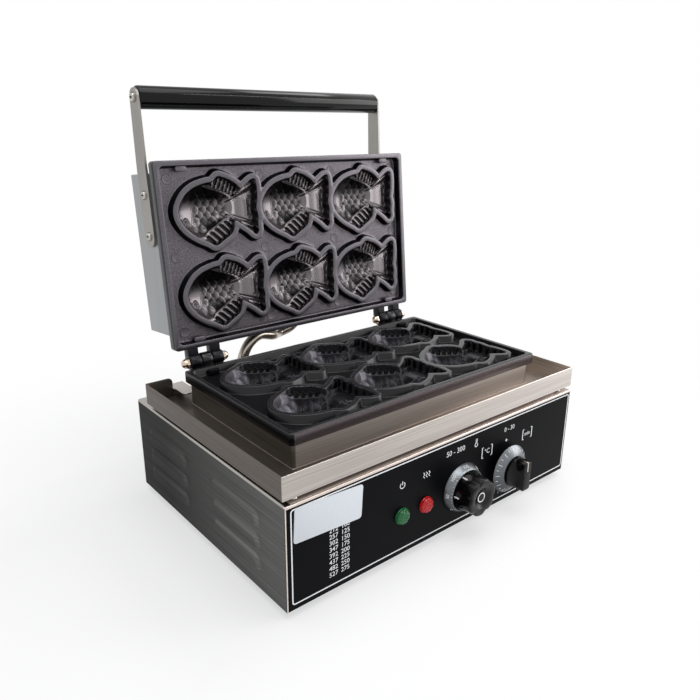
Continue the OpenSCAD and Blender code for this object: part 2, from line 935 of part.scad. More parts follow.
module lower_tie_studs() {
    z0 = deck_z - sheet_t - nut_m5_h - 2;
    color(steel)
        base_pose()
            for (sx = [-1, 1], sy = [-1, 1])
                translate([sx * stud_x, plate_mid + sy * stud_y, z0])
                    cylinder(r = m5[0], h = block_z + stud_in - z0);
}

module lower_tie_nuts() {
    color(steel)
        base_pose()
            for (sx = [-1, 1], sy = [-1, 1])
                translate([sx * stud_x, plate_mid + sy * stud_y, 0]) {
                    translate([0, 0, deck_z - sheet_t - nut_m5_h])
                        hex_nut(nut_m5_r, nut_m5_h, m5[0] + 0.03);
                    translate([0, 0, lower_clamp_z - nut_m5_h])
                        hex_nut(nut_m5_r, nut_m5_h, m5[0] + 0.03);
                }
}

/* Controls behind and in front of the panel */

module on_panel(x) {
    translate([x, 0, control_h])
        rotate([90, 0, 0])
            children();
}

bush_l = 7;
body_gap = front_t + sheet_t;

// Fixed part of a control: body behind the panel, threaded bush through it, bored for the shaft
module control_body(w, h, depth) {
    difference() {
        union() {
            translate([-w / 2, -h / 2, -body_gap - depth])
                cube([w, h, depth]);
            translate([0, 0, -body_gap - 0.01])
                cylinder(r = bush_r, h = body_gap + bush_l - 3);
        }
        translate([0, 0, -body_gap - depth / 2])
            cylinder(r = shaft_r + run_gap, h = depth + 3 * bush_l);
    }
}

thermostat_size = [40, 36, 32];
timer_size = [46, 46, 50];

module thermostat_body() {
    color("tan")
        base_pose()
            on_panel(thermostat_x)
                difference() {
                    control_body(thermostat_size[0], thermostat_size[1], thermostat_size[2]);
                    translate([0, 0, -body_gap - thermostat_size[2] - cut])
                        cylinder(r = 1.6, h = 5);
                }
}

module timer_body() {
    color("lightgray")
        base_pose()
            on_panel(timer_x)
                control_body(timer_size[0], timer_size[1], timer_size[2]);
}

module shaft_nuts() {
    color(steel)
        base_pose()
            for (x = [thermostat_x, timer_x])
                on_panel(x)
                    hex_nut(8, 2.2, bush_r + 0.05);
}

bulb_x = -120;
bulb_y = plate_mid;
bulb_r = 3;
capillary_r = 1.5;
capillary_y = body_gap + thermostat_size[2] + 3;
capillary_bend = 10;

// Feeler: a thin tube from the thermostat back and across, then up to a bulb under the plate
module thermostat_bulb() {
    top = lower_clamp_z - 0.2;
    y_run = bulb_y;
    color("goldenrod")
        base_pose() {
            translate([thermostat_x, capillary_y - 6, control_h])
                rotate([-90, 0, 0])
                    cylinder(r = capillary_r, h = y_run - capillary_bend - capillary_y + 6);
            translate([thermostat_x - capillary_bend, y_run - capillary_bend, control_h])
                rotate_extrude(angle = 90)
                    translate([capillary_bend, 0])
                        circle(capillary_r);
            translate([bulb_x + capillary_bend, y_run, control_h])
                rotate([0, 90, 0])
                    cylinder(r = capillary_r, h = thermostat_x - capillary_bend - bulb_x - capillary_bend);
            translate([bulb_x + capillary_bend, y_run, control_h + capillary_bend])
                rotate([90, 0, 0])
                    rotate([0, 0, 180])
                        rotate_extrude(angle = 90)
                            translate([capillary_bend, 0])
                                circle(capillary_r);
            translate([bulb_x, y_run, control_h + capillary_bend])
                cylinder(r = capillary_r, h = top - 40 - control_h - capillary_bend);
            translate([bulb_x, y_run, top - 40])
                cylinder(r = bulb_r, h = 40);
        }
}

dial_h = 8.5;

// Fixed cone ring round the thermostat knob
module thermostat_dial() {
    color("lightslategray")
        base_pose()
            on_panel(thermostat_x)
                difference() {
                    union() {
                        cylinder(r = dial_r, h = 1);
                        translate([0, 0, 1])
                            cylinder(r1 = dial_r, r2 = knob_r + 1.4, h = dial_h - 1);
                    }
                    translate([0, 0, 1])
                        cylinder(r1 = dial_r - 1.4, r2 = knob_r + 0.6, h = dial_h - 1 + 0.001);
                    translate([0, 0, -cut])
                        cylinder(r = 12, h = 4);
                }
}

lens_h = 5.5;
bezel_h = 1.6;

// Faceted lens with a low collar
module lamp_lens(x) {
    on_panel(x)
        union() {
            cylinder(r = lens_r + 0.6, h = bezel_h);
            translate([0, 0, bezel_h])
                cylinder(r1 = lens_r, r2 = lens_r * 0.72, h = lens_h - bezel_h);
        }
}

module green_lamp_lens() {
    color("green")
        base_pose()
            lamp_lens(green_x);
}

module red_lamp_lens() {
    color("red")
        base_pose()
            lamp_lens(red_x);
}

module lamp_bodies() {
    color("white")
        base_pose()
            for (x = [green_x, red_x])
                on_panel(x)
                    translate([0, 0, -28])
                        cylinder(r = lamp_body_r, h = 28);
}

module lamp_nuts() {
    color(dark_steel)
        base_pose()
            for (x = [green_x, red_x])
                on_panel(x)
                    translate([0, 0, -body_gap - 3])
                        hex_nut(8, 3, lamp_body_r + 0.05);
}

// Fluted knob: six grooves along the side, dished face with a round cap
module thermostat_knob() {
    z0 = 2.6;
    dish_r = knob_r * 0.53;
    flute_r = 3.2;
    color(black)
        base_pose()
            on_panel(thermostat_x)
                difference() {
                    union() {
                        translate([0, 0, z0])
                            cylinder(r = knob_r, h = knob_reach - z0 - 1.2);
                        translate([0, 0, knob_reach - 1.2])
                            cylinder(r1 = knob_r, r2 = knob_r - 1.2, h = 1.2);
                    }
                    for (i = [0:5])
                        rotate([0, 0, 50 + i * 60])
                            translate([knob_r + flute_r * 0.45, 0, knob_reach * 0.48])
                                cylinder(r = flute_r, h = knob_reach);
                    translate([0, 0, knob_reach - 4])
                        difference() {
                            cylinder(r1 = dish_r * 0.55, r2 = dish_r, h = 4 + 0.001);
                            translate([0, 0, -cut])
                                cylinder(r = dish_r * 0.5, h = 3 + cut);
                        }
                    translate([0, 0, z0 - cut])
                        cylinder(r = 10, h = 4);
                    translate([0, 0, z0 - cut])
                        cylinder(r = shaft_r + 0.02, h = 14);
                }
}

shaft_in = 10;

module thermostat_shaft() {
    color(steel)
        base_pose()
            on_panel(thermostat_x)
                translate([0, 0, -body_gap - shaft_in])
                    cylinder(r = shaft_r, h = body_gap + shaft_in + 13);
}

timer_cone_z = 6.5;
timer_cone_h = 7;
timer_base_r = 16.5;
bar_w = 12.5;

// Dial cone that turns with the timer knob
module timer_dial() {
    color("lightslategray")
        base_pose()
            on_panel(timer_x)
                difference() {
                    translate([0, 0, timer_cone_z])
                        cylinder(r1 = dial_r, r2 = timer_base_r + 0.4, h = timer_cone_h);
                    translate([0, 0, timer_cone_z - 0.001])
                        cylinder(r1 = dial_r - 1.4, r2 = timer_base_r - 1, h = timer_cone_h - 1.4);
                    translate([0, 0, timer_cone_z])
                        cylinder(r = shaft_r + 2 + 0.02, h = timer_cone_h + cut);
                }
}

// Round base that draws in to an upright grip bar
module timer_knob() {
    z0 = timer_cone_z + timer_cone_h;
    color(black)
        base_pose()
            on_panel(timer_x)
                difference() {
                    union() {
                        translate([0, 0, z0 - 5.4])
                            cylinder(r = shaft_r + 2, h = 6);
                        translate([0, 0, z0])
                            cylinder(r1 = timer_base_r, r2 = timer_base_r - 1, h = 3);
                        intersection() {
                            translate([0, 0, z0])
                                cylinder(r1 = timer_base_r, r2 = timer_base_r - 1.5, h = timer_reach - z0);
                            union() {
                                translate([-bar_w / 2, -timer_base_r, z0])
                                    cube([bar_w, 2 * timer_base_r, timer_reach - z0]);
                                translate([0, 0, z0])
                                    cylinder(r1 = timer_base_r, r2 = bar_w / 2, h = (timer_reach - z0) * 0.75);
                            }
                        }
                    }
                    translate([0, 0, z0 - 5.4 - cut])
                        cylinder(r = shaft_r + 0.02, h = 5 + 8);
                }
}

module timer_shaft() {
    color(steel)
        base_pose()
            on_panel(timer_x)
                translate([0, 0, -body_gap - shaft_in])
                    cylinder(r = shaft_r, h = body_gap + shaft_in + timer_cone_z + timer_cone_h + 6);
}

/* Inside the casing */

terminal_size = [72, 22, 20];
terminal_x = 70;
terminal_y = casing_d - 70;

// Ceramic block with six screw wells, on the bottom cover
module terminal_block() {
    color("ivory")
        base_pose()
            translate([terminal_x, terminal_y, base_z + sheet_t - 0.05])
                difference() {
                    translate([-terminal_size[0] / 2, -terminal_size[1] / 2, 0])
                        cube(terminal_size);
                    for (i = [-1:1], s = [-1, 1])
                        translate([i * terminal_size[0] / 3.3, s * terminal_size[1] / 4, terminal_size[2] - 8])
                            cylinder(r = terminal_size[1] / 7, h = 8 + cut);
                }
}

module earth_stud() {
    color("gold")
        base_pose()
            translate([gland_x - 40, casing_d - 0.2, base_z + gland_z])
                rotate([90, 0, 0])
                    union() {
                        translate([0, 0, -5])
                            cylinder(r = nut_m5_r, h = 3.5, $fn = 6);
                        translate([0, 0, -5])
                            cylinder(r = m5[0], h = 20);
                        translate([0, 0, -1.5])
                            cylinder(r = nut_m5_r + 1, h = 1.5);
                    }
}

module gland_on_back() {
    translate([gland_x, casing_d - 0.2, base_z + gland_z])
        rotate([-90, 0, 0])
            children();
}

module cord_gland() {
    color(black)
        base_pose()
            gland_on_back()
                difference() {
                    union() {
                        translate([0, 0, -12])
                            cylinder(r = gland_hole_r, h = 12.01);
                        cylinder(r = gland_hole_r + 3, h = 5, $fn = 6);
                        translate([0, 0, 5])
                            cylinder(r1 = gland_hole_r + 2, r2 = gland_hole_r - 1, h = 8);
                    }
                    translate([0, 0, -13])
                        cylinder(r = cord_bore_r, h = 28);
                }
}

module cord_gland_nut() {
    color(black)
        base_pose()
            gland_on_back()
                translate([0, 0, -sheet_t - 5])
                    hex_nut(gland_hole_r + 3, 5, gland_hole_r + 0.05);
}

/* Conduit and its glands */

conduit_y = tray_back + 14;
conduit_low = deck_z + gland_base_h;
lid_gland_x = 20;
// Where the lid's gland meets the conduit, with the lid open
lid_gland_depth = 40;
lid_back = plate_mid + lid_d / 2;
gland_out = lid_back + gland_lid_h;
lid_end_y = opened_y(gland_out, upper_flange_z + lid_gland_depth);
lid_end_z = hinge_z - (gland_out - hinge_y) * sin(open_angle)
    + (upper_flange_z + lid_gland_depth - hinge_z) * cos(open_angle);

module conduit_gland_base() {
    color(steel)
        base_pose()
            translate([conduit_x, conduit_y, deck_z])
                difference() {
                    union() {
                        translate([0, 0, -6])
                            cylinder(r = gland_base_r - 2.5, h = 6.01);
                        cylinder(r = gland_base_r, h = gland_base_h * 0.6, $fn = 6);
                        translate([0, 0, gland_base_h * 0.6])
                            cylinder(r = gland_base_r - 1.5, h = gland_base_h * 0.4);
                    }
                    translate([0, 0, -8])
                        cylinder(r = conduit_r - 1.2, h = 30);
                    translate([0, 0, gland_base_h - 4])
                        cylinder(r = conduit_r + 0.1, h = 5);
                }
}

module conduit_gland_lid() {
    color(steel)
        lid_pose()
            translate([lid_gland_x, lid_back, upper_flange_z + lid_gland_depth])
                rotate([-90, 0, 0])
                    difference() {
                        union() {
                            translate([0, 0, -5])
                                cylinder(r = gland_lid_r - 2.5, h = 5.01);
                            cylinder(r = gland_lid_r, h = gland_lid_h * 0.5, $fn = 6);
                            translate([0, 0, gland_lid_h * 0.5])
                                cylinder(r = gland_lid_r - 1.5, h = gland_lid_h * 0.5);
                        }
                        translate([0, 0, -6])
                            cylinder(r = conduit_r - 1.2, h = 30);
                        translate([0, 0, gland_lid_h - 4])
                            cylinder(r = conduit_r + 0.1, h = 5);
                    }
}

// Centre line: up out of the deck, across behind the plates and up into the lid
conduit_in = 3.8;
conduit_start = [conduit_x, conduit_y, conduit_low - conduit_in];
lid_mouth = [lid_gland_x, lid_end_y, lid_end_z];
into_lid = [0, -cos(open_angle), sin(open_angle)];
conduit_end = lid_mouth + conduit_in * into_lid;
conduit_mid_z = (conduit_start[2] + conduit_end[2]) / 2 + 4;
conduit_points = [conduit_start,
    [conduit_x, conduit_y, conduit_low + 3],
    [conduit_x + 1, conduit_y + 0.5, conduit_mid_z - 12],
    [conduit_x + 10, conduit_y + 1.5, conduit_mid_z + 2],
    [conduit_x + 26, conduit_y + 4, conduit_mid_z + 9],
    [conduit_x + 46, conduit_y + 8, conduit_mid_z + 4],
    [lid_gland_x - 26, lid_end_y - 1, conduit_mid_z - 1],
    [lid_gland_x - 9, lid_end_y - 1.2, conduit_mid_z + 3],
    lid_mouth - 9 * into_lid - [0.8, 0, 0],
    lid_mouth - 2 * into_lid,
    lid_mouth,
    conduit_end];

function open_spline(p, n) = let (m = len(p), a = concat([2 * p[0] - p[1]], p, [2 * p[m - 1] - p[m - 2]]))
    concat([for (i = [0:m - 2], k = [0:n - 1]) spline_point(a[i], a[i + 1], a[i + 2], a[i + 3], k / n)],
        [p[m - 1]]);
function unit(v) = v / norm(v);

// Tube along a list of points, closed at both ends
module tube_along(path, r, sides) {
    n = len(path);
    dirs = [for (i = [0:n - 1]) unit(path[min(i + 1, n - 1)] - path[max(i - 1, 0)])];
    side = [for (i = [0:n - 1]) unit(cross(dirs[i], [0, 1, 0.03]))];
    rings = [for (i = [0:n - 1], k = [0:sides - 1]) let (a = k * 360 / sides, up = cross(side[i], dirs[i]))
        path[i] + r * (cos(a) * side[i] + sin(a) * up)];
    faces = concat(
        [for (i = [0:n - 2], k = [0:sides - 1]) let (a = i * sides + k, b = i * sides + (k + 1) % sides)
            [a, a + sides, b + sides, b]],
        [[for (k = [0:sides - 1]) k]],
        [[for (k = [sides - 1:-1:0]) (n - 1) * sides + k]]);
    polyhedron(rings, faces);
}

module wiring_conduit() {
    color(steel)
        base_pose()
            tube_along(open_spline(conduit_points, 4), conduit_r, 12);
}

/* Lid */

upper_clamp_z = upper_block_z + 2 * heater_r;
upper_pad_h = 22;
lid_lip = 8;
lid_screw_x = lid_w / 2 - sheet_t - lid_lip / 2;
lid_screw_y = 45;
lid_screw_in = 2;

module upper_heater() {
    color("slategray")
        lid_pose()
            translate([0, plate_mid, upper_block_z + heater_r])
                mirror([0, 0, 1])
                    heater_tube(18);
}

module upper_clamp_plate() {
    color(dark_steel)
        lid_pose()
            translate([0, plate_mid, upper_clamp_z])
                clamp_plate();
}

module upper_insulation() {
    color("ivory")
        lid_pose()
            translate([0, plate_mid, upper_clamp_z + clamp_t])
                insulation_pad(upper_pad_h);
}

module upper_studs() {
    color(steel)
        lid_pose()
            for (sx = [-1, 1], sy = [-1, 1])
                translate([sx * stud_x, plate_mid + sy * stud_y, upper_block_z - stud_in])
                    cylinder(r = m5[0], h = stud_in + 2 * heater_r + clamp_t + nut_m5_h + 2);
}

module upper_nuts() {
    color(steel)
        lid_pose()
            for (sx = [-1, 1], sy = [-1, 1])
                translate([sx * stud_x, plate_mid + sy * stud_y, upper_clamp_z + clamp_t])
                    hex_nut(nut_m5_r, nut_m5_h, m5[0] + 0.03);
}

module lid_cover_places() {
    inset = cover_screw_inset;
    for (sx = [-1, 0, 1], sy = [-1, 1])
        translate([sx * (lid_w / 2 - inset), plate_mid + sy * (lid_d / 2 - inset), 0])
            children();
    for (sx = [-1, 1])
        translate([sx * (lid_w / 2 - inset), plate_mid, 0])
            children();
}

module lid_shell() {
    color(steel)
        lid_pose()
            difference() {
                translate([0, plate_mid, upper_flange_z])
                    slab(lid_w, lid_d, lid_h, 1.4);
                translate([0, plate_mid, upper_flange_z + sheet_t])
                    slab(lid_w - 2 * sheet_t, lid_d - 2 * sheet_t, lid_h - 2 * sheet_t, 0.6);
                translate([0, plate_mid, upper_flange_z - cut])
                    slab(lid_w - 2 * sheet_t - 2 * lid_lip, lid_d - 2 * sheet_t - 4, lid_h / 2, 2);
                translate([0, plate_mid, lid_top - lid_h / 4])
                    slab(lid_w - 2 * sheet_t - 26, lid_d - 2 * sheet_t - 26, lid_h / 2, 2);
                lid_cover_places()
                    translate([0, 0, lid_top - 3])
                        cylinder(r = m3[0] + 0.05, h = 6);
                for (sx = [-1, 1], sy = [-1, 1])
                    translate([sx * lid_screw_x, plate_mid + sy * lid_screw_y, upper_flange_z - cut])
                        cylinder(r = m3[0] + 0.05, h = 5);
                for (y = [arm_y1, arm_y2])
                    mirror_pair()
                        translate([lid_w / 2 - 4, y, arm_z])
                            rotate([0, 90, 0])
                                cylinder(r = m4[0] + 0.05, h = 8);
                translate([lid_gland_x, lid_back, upper_flange_z + lid_gland_depth])
                    rotate([90, 0, 0])
                        cylinder(r = gland_lid_r - 2.5 + 0.1, h = 10, center = true);
            }
}

module lid_cover() {
    color(steel)
        lid_pose()
            difference() {
                translate([0, plate_mid, lid_top])
                    slab(lid_w, lid_d, sheet_t, 1.4);
                lid_cover_places()
                    translate([0, 0, lid_top - cut])
                        cylinder(r = m3[0] + 0.05, h = 6);
                for (i = [-2:2])
                    translate([i * 34, plate_mid, lid_top - cut])
                        slab(4, 60, 6, 1.9);
            }
}

module lid_cover_screws() {
    color(steel)
        lid_pose()
            lid_cover_places()
                translate([0, 0, lid_outer])
                    pan_screw(m3, 7);
}

module lid_shell_screws() {
    color(steel)
        lid_pose()
            for (sx = [-1, 1], sy = [-1, 1])
                translate([sx * lid_screw_x, plate_mid + sy * lid_screw_y, upper_flange_z + sheet_t])
                    pan_screw(m3, sheet_t + lid_screw_in - 0.2);
}

// Flat arm, drawn with +X to the rear and +Y up, screw holes at the first end
module arm_outline() {
    hull() {
        translate([arm_y1, arm_z])
            circle(arm_r, $fn = 32);
        translate([arm_y2, arm_z])
            circle(arm_r, $fn = 32);
    }
    hull() {
        translate([arm_y1, arm_z])
            circle(arm_r, $fn = 32);
        translate([lid_front - 12, arm_z - 0.4])
            circle((arm_r + arm_grip_r) / 2, $fn = 32);
    }
    hull() {
        translate([lid_front - 12, arm_z - 0.4])
            circle((arm_r + arm_grip_r) / 2, $fn = 32);
        translate([grip_y, grip_z])
            circle(arm_grip_r, $fn = 32);
    }
}

module handle_arm() {
    difference() {
        translate([lid_w / 2, 0, 0])
            rotate([90, 0, 90])
                linear_extrude(arm_t)
                    arm_outline();
        for (y = [arm_y1, arm_y2])
            translate([lid_w / 2 - cut, y, arm_z])
                rotate([0, 90, 0])
                    cylinder(r = m4[0] + 0.05, h = arm_t + 2 * cut);
        translate([lid_w / 2 - cut, grip_y, grip_z])
            rotate([0, 90, 0])
                cylinder(r = m5[0] + 0.05, h = arm_t + 2 * cut);
    }
}

module handle_arm_left() {
    color("gainsboro")
        lid_pose()
            mirror([1, 0, 0])
                handle_arm();
}

module handle_arm_right() {
    color("gainsboro")
        lid_pose()
            handle_arm();
}

module arm_screws() {
    color(steel)
        lid_pose()
            for (y = [arm_y1, arm_y2])
                mirror_pair()
                    translate([lid_w / 2 + arm_t, y, arm_z])
                        rotate([0, 90, 0])
                            pan_screw(m4, 9);
}

module handle_grip() {
    color(black)
        lid_pose()
            translate([0, grip_y, grip_z])
                rotate([0, 90, 0])
                    difference() {
                        union() {
                            cylinder(r = grip_r, h = lid_w - 2, center = true);
                            for (s = [0, 1])
                                mirror([0, 0, s])
                                    translate([0, 0, lid_w / 2 - 1.001])
                                        cylinder(r1 = grip_r, r2 = grip_r - 1, h = 1);
                        }
                        for (s = [-1, 1])
                            translate([0, 0, s * lid_w / 2])
                                cylinder(r = m5[0] + 0.02, h = 30, center = true);
                    }
}

module grip_screws() {
    color(steel)
        lid_pose()
            mirror_pair()
                translate([lid_w / 2 + arm_t, grip_y, grip_z])
                    rotate([0, 90, 0])
                        pan_screw(m5, 14);
}

casing();
front_panel();
panel_overlay();
blank_label();
back_panel();
bottom_cover();
feet();
foot_screws();
casing_screws();
spill_tray();
tray_spacers();
riser_frame();
tray_screws();
rear_bracket_left();
rear_bracket_right();
lower_plate();
lower_heater();
lower_clamp_plate();
lower_insulation();
lower_tie_studs();
lower_tie_nuts();
hinge_bolts();
hinge_nuts();
thermostat_body();
thermostat_bulb();
thermostat_dial();
timer_body();
shaft_nuts();
green_lamp_lens();
red_lamp_lens();
lamp_bodies();
lamp_nuts();
terminal_block();
earth_stud();
cord_gland();
cord_gland_nut();
conduit_gland_base();
wiring_conduit();
upper_plate();
upper_heater();
upper_clamp_plate();
upper_insulation();
upper_studs();
upper_nuts();
lid_shell();
lid_cover();
lid_cover_screws();
lid_shell_screws();
handle_arm_left();
handle_arm_right();
arm_screws();
handle_grip();
grip_screws();
conduit_gland_lid();
thermostat_knob();
thermostat_shaft();
timer_knob();
timer_dial();
timer_shaft();
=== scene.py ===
"""Dress of the fish-cake maker: two cast plates with six fish moulds each, a steel
casing with pressed louvres, spill tray, lid with bar handle, printed front panel.
Lengths in the shapes are millimetres in the CAD frame; meshes are written in metres."""

import json
from math import cos, pi, radians, sin

import bmesh
import bpy
import numpy as np
from mathutils import Matrix, Vector
from mathutils.geometry import delaunay_2d_cdt

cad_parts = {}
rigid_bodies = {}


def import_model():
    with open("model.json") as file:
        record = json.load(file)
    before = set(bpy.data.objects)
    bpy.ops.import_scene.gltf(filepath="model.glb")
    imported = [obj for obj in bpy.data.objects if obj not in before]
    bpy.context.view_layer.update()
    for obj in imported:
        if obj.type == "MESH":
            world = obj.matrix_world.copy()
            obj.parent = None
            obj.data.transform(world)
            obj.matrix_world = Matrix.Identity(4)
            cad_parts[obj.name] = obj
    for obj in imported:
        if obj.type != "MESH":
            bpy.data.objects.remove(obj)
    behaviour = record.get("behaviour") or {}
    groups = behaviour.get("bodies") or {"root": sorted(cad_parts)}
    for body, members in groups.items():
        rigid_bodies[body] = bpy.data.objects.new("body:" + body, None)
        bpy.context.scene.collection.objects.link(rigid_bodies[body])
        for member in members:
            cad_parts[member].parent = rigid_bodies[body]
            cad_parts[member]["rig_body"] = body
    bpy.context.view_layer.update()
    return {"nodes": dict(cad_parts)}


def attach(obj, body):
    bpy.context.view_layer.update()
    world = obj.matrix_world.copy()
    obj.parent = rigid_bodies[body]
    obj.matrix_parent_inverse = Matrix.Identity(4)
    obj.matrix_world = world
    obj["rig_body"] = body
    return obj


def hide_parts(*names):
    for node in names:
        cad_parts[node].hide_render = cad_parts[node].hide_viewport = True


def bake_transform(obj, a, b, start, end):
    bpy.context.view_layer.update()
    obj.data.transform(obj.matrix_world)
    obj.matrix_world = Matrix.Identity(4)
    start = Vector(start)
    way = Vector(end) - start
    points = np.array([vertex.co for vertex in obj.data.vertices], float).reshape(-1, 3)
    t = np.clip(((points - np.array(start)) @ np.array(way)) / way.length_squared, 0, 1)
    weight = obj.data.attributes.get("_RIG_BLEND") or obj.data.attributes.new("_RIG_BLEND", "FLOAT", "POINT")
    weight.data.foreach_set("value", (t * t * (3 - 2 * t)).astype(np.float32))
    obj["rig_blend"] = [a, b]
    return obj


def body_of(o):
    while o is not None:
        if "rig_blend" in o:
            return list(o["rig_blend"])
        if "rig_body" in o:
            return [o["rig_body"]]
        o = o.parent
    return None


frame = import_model()

MM = 0.001
FRONT = -148.48  # the front panel's face
HINGE_Y, HINGE_Z = 83.72, 147.3
OPEN = radians(95.7)
PLATE_MID = FRONT + 125  # middle of the closed plates
LOWER_RIM, UPPER_RIM = 145.6, 146.0


# ---------------------------------------------------------------- shapes


def quads_between(n, m, round_v=False):
    """Corner numbers of the quads between neighbours on a net of n by m points."""
    at = np.arange(n * m).reshape(n, m)
    if round_v:
        at = np.hstack([at, at[:, :1]])
    return np.stack([at[:-1, :-1], at[1:, :-1], at[1:, 1:], at[:-1, 1:]], -1).reshape(-1, 4)


class Shape:
    """Points and faces of one piece, gathered part by part. Each part has a finish, the
    number of one of the piece's materials, and each point a tone from 0 to 1."""

    def __init__(self):
        self.points, self.faces, self.finish, self.tones, self.starts = [], [], [], [], []
        self.total = 0

    def add(self, points, faces, finish=0, tone=1.0):
        """Takes in points and the faces between them, as rows of corner numbers."""
        points = np.asarray(points, float).reshape(-1, 3)
        faces = np.asarray(faces, int)
        self.points.append(points)
        self.tones.append(np.broadcast_to(tone, len(points)))
        self.faces.append(faces + self.total)
        self.finish.append(np.full(len(faces), finish))
        self.starts.append(self.total)
        self.total += len(points)

    def grid(self, p, round_v=False, finish=0):
        """Quads between neighbours of the surface points p[u, v]."""
        self.add(p, quads_between(*p.shape[:2], round_v), finish)

    def lid(self, ring, finish=0):
        """One flat face over a closed ring of points."""
        self.add(ring, np.arange(len(ring))[None, :], finish)

    def loft(self, rings, finish=0, ends=True):
        """Skin over closed rings[k, i], with a flat face over the first and the last."""
        rings = np.asarray(rings, float)
        self.grid(rings, round_v=True, finish=finish)
        if ends:
            self.lid(rings[0], finish)
            self.lid(rings[-1], finish)

    def join(self, other, move):
        """Takes in another shape's parts, each point through the function move."""
        parts = zip(other.points, other.faces, other.finish, other.tones, other.starts)
        for points, faces, finish, tone, start in parts:
            self.add(move(points), faces - start, finish, tone)


def clean(mesh, gap, crease, flat=0):
    """Merges points closer than gap (m), turns faces outward, joins faces that bend by
    less than flat degrees, and breaks the soft shading at edges sharper than crease."""
    bm = bmesh.new()
    bm.from_mesh(mesh)
    bmesh.ops.remove_doubles(bm, verts=bm.verts, dist=gap)
    bmesh.ops.recalc_face_normals(bm, faces=bm.faces)
    if flat:
        bmesh.ops.dissolve_limit(bm, angle_limit=radians(flat), verts=bm.verts, edges=bm.edges)
    bm.to_mesh(mesh)
    bm.free()
    mesh.polygons.foreach_set("use_smooth", np.ones(len(mesh.polygons), bool))
    mesh.set_sharp_from_angle(angle=radians(crease))


def set_down(name, mesh, body, slot, stands_for):
    """Puts a finished mesh into the scene as a piece of its body."""
    obj = bpy.data.objects.new(name, mesh)
    bpy.context.scene.collection.objects.link(obj)
    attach(obj, body)
    if stands_for:
        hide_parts(*stands_for)
    return obj


def piece(name, shape, finishes, body, slot, stands_for=(), crease=32):
    """Turns a gathered shape into a piece with its materials and its points' tones."""
    mesh = bpy.data.meshes.new(name)
    faces = [row for block in shape.faces for row in block.tolist()]
    mesh.from_pydata((np.concatenate(shape.points) * MM).tolist(), [], faces)
    for finish in finishes if isinstance(finishes, list) else [finishes]:
        mesh.materials.append(finish)
    mesh.polygons.foreach_set("material_index", np.concatenate(shape.finish).astype(np.int32))
    tone = mesh.attributes.new("tone", "FLOAT", "POINT")
    tone.data.foreach_set("value", np.concatenate(shape.tones).astype(np.float32))
    clean(mesh, 2e-6, crease)
    return set_down(name, mesh, body, slot, stands_for)


def opened(p):
    """Points of the closed lid turned up about the hinge: the offset from the axis is
    turned by the open angle."""
    p = np.asarray(p, float)
    y, z = p[..., 1] - HINGE_Y, p[..., 2] - HINGE_Z
    return np.stack([p[..., 0], HINGE_Y + y * cos(OPEN) + z * sin(OPEN),
                     HINGE_Z - y * sin(OPEN) + z * cos(OPEN)], -1)


def level(ring, z):
    """A flat ring (i, 2) lifted to height z."""
    return np.column_stack([ring, np.full(len(ring), z)])


def corner_loop(w, d, r, n=5):
    """Rectangle w by d about the origin, each corner a quarter circle of radius r."""
    a = (np.linspace(0, pi / 2, n + 1) + np.arange(4)[:, None] * pi / 2).ravel()
    sx = np.repeat([1, -1, -1, 1], n + 1)
    sy = np.repeat([1, 1, -1, -1], n + 1)
    return np.column_stack([sx * (w / 2 - r) + r * np.cos(a), sy * (d / 2 - r) + r * np.sin(a)])


def block(shape, x, y, z, side_r, edge_r, finish=0, move=None):
    """Box over the spans x, y, z: upright corners of radius side_r, top and bottom
    edges rounded by a quarter circle of radius edge_r."""
    t = np.linspace(0, pi / 2, 4)
    low = [(edge_r * (1 - sin(a)), z[0] + edge_r * (1 - cos(a))) for a in t]
    steps = low + [(inset, z[0] + z[1] - h) for inset, h in reversed(low)]
    rings = np.array([
        level(corner_loop(x[1] - x[0] - 2 * i, y[1] - y[0] - 2 * i, max(side_r - i, 0.05)), h)
        + [(x[0] + x[1]) / 2, (y[0] + y[1]) / 2, 0] for i, h in steps])
    shape.loft(move(rings) if move else rings, finish)


AXES = {"x": (1, 2, 0), "z": (0, 1, 2)}  # which coordinates run round an axis and along it


def turned(shape, profile, centre, axis, n):
    """Profile rows (along, radius) turned about an axis through centre, in n steps."""
    profile = np.asarray(profile, float)
    a = np.linspace(0, 2 * pi, n, endpoint=False)
    p = np.zeros((len(profile), n, 3))
    u, v, w = AXES[axis]
    p[..., u] = profile[:, 1:] * np.cos(a)
    p[..., v] = profile[:, 1:] * np.sin(a)
    p[..., w] = profile[:, :1]
    shape.loft(p + centre, ends=profile[0, 1] > 1e-6 or profile[-1, 1] > 1e-6)


def outward(ring):
    """Unit normals of a closed flat ring that runs anticlockwise."""
    step = np.roll(ring, -1, 0) - np.roll(ring, 1, 0)
    step /= np.linalg.norm(step, axis=1, keepdims=True)
    return np.column_stack([step[:, 1], -step[:, 0]])


def slab_of(shape, ring, span, edge, place):
    """Flat outline carried from span[0] to span[1], its long edges broken by edge.
    place(ring, w) puts outline points at width w into space."""
    out = outward(ring)
    rows = [(0, edge), (edge * 0.3, edge * 0.3), (edge, 0)]
    steps = [(span[0] + w, inset) for w, inset in rows]
    steps += [(span[1] - w, inset) for w, inset in reversed(rows)]
    shape.loft([place(ring - inset * out, w) for w, inset in steps])


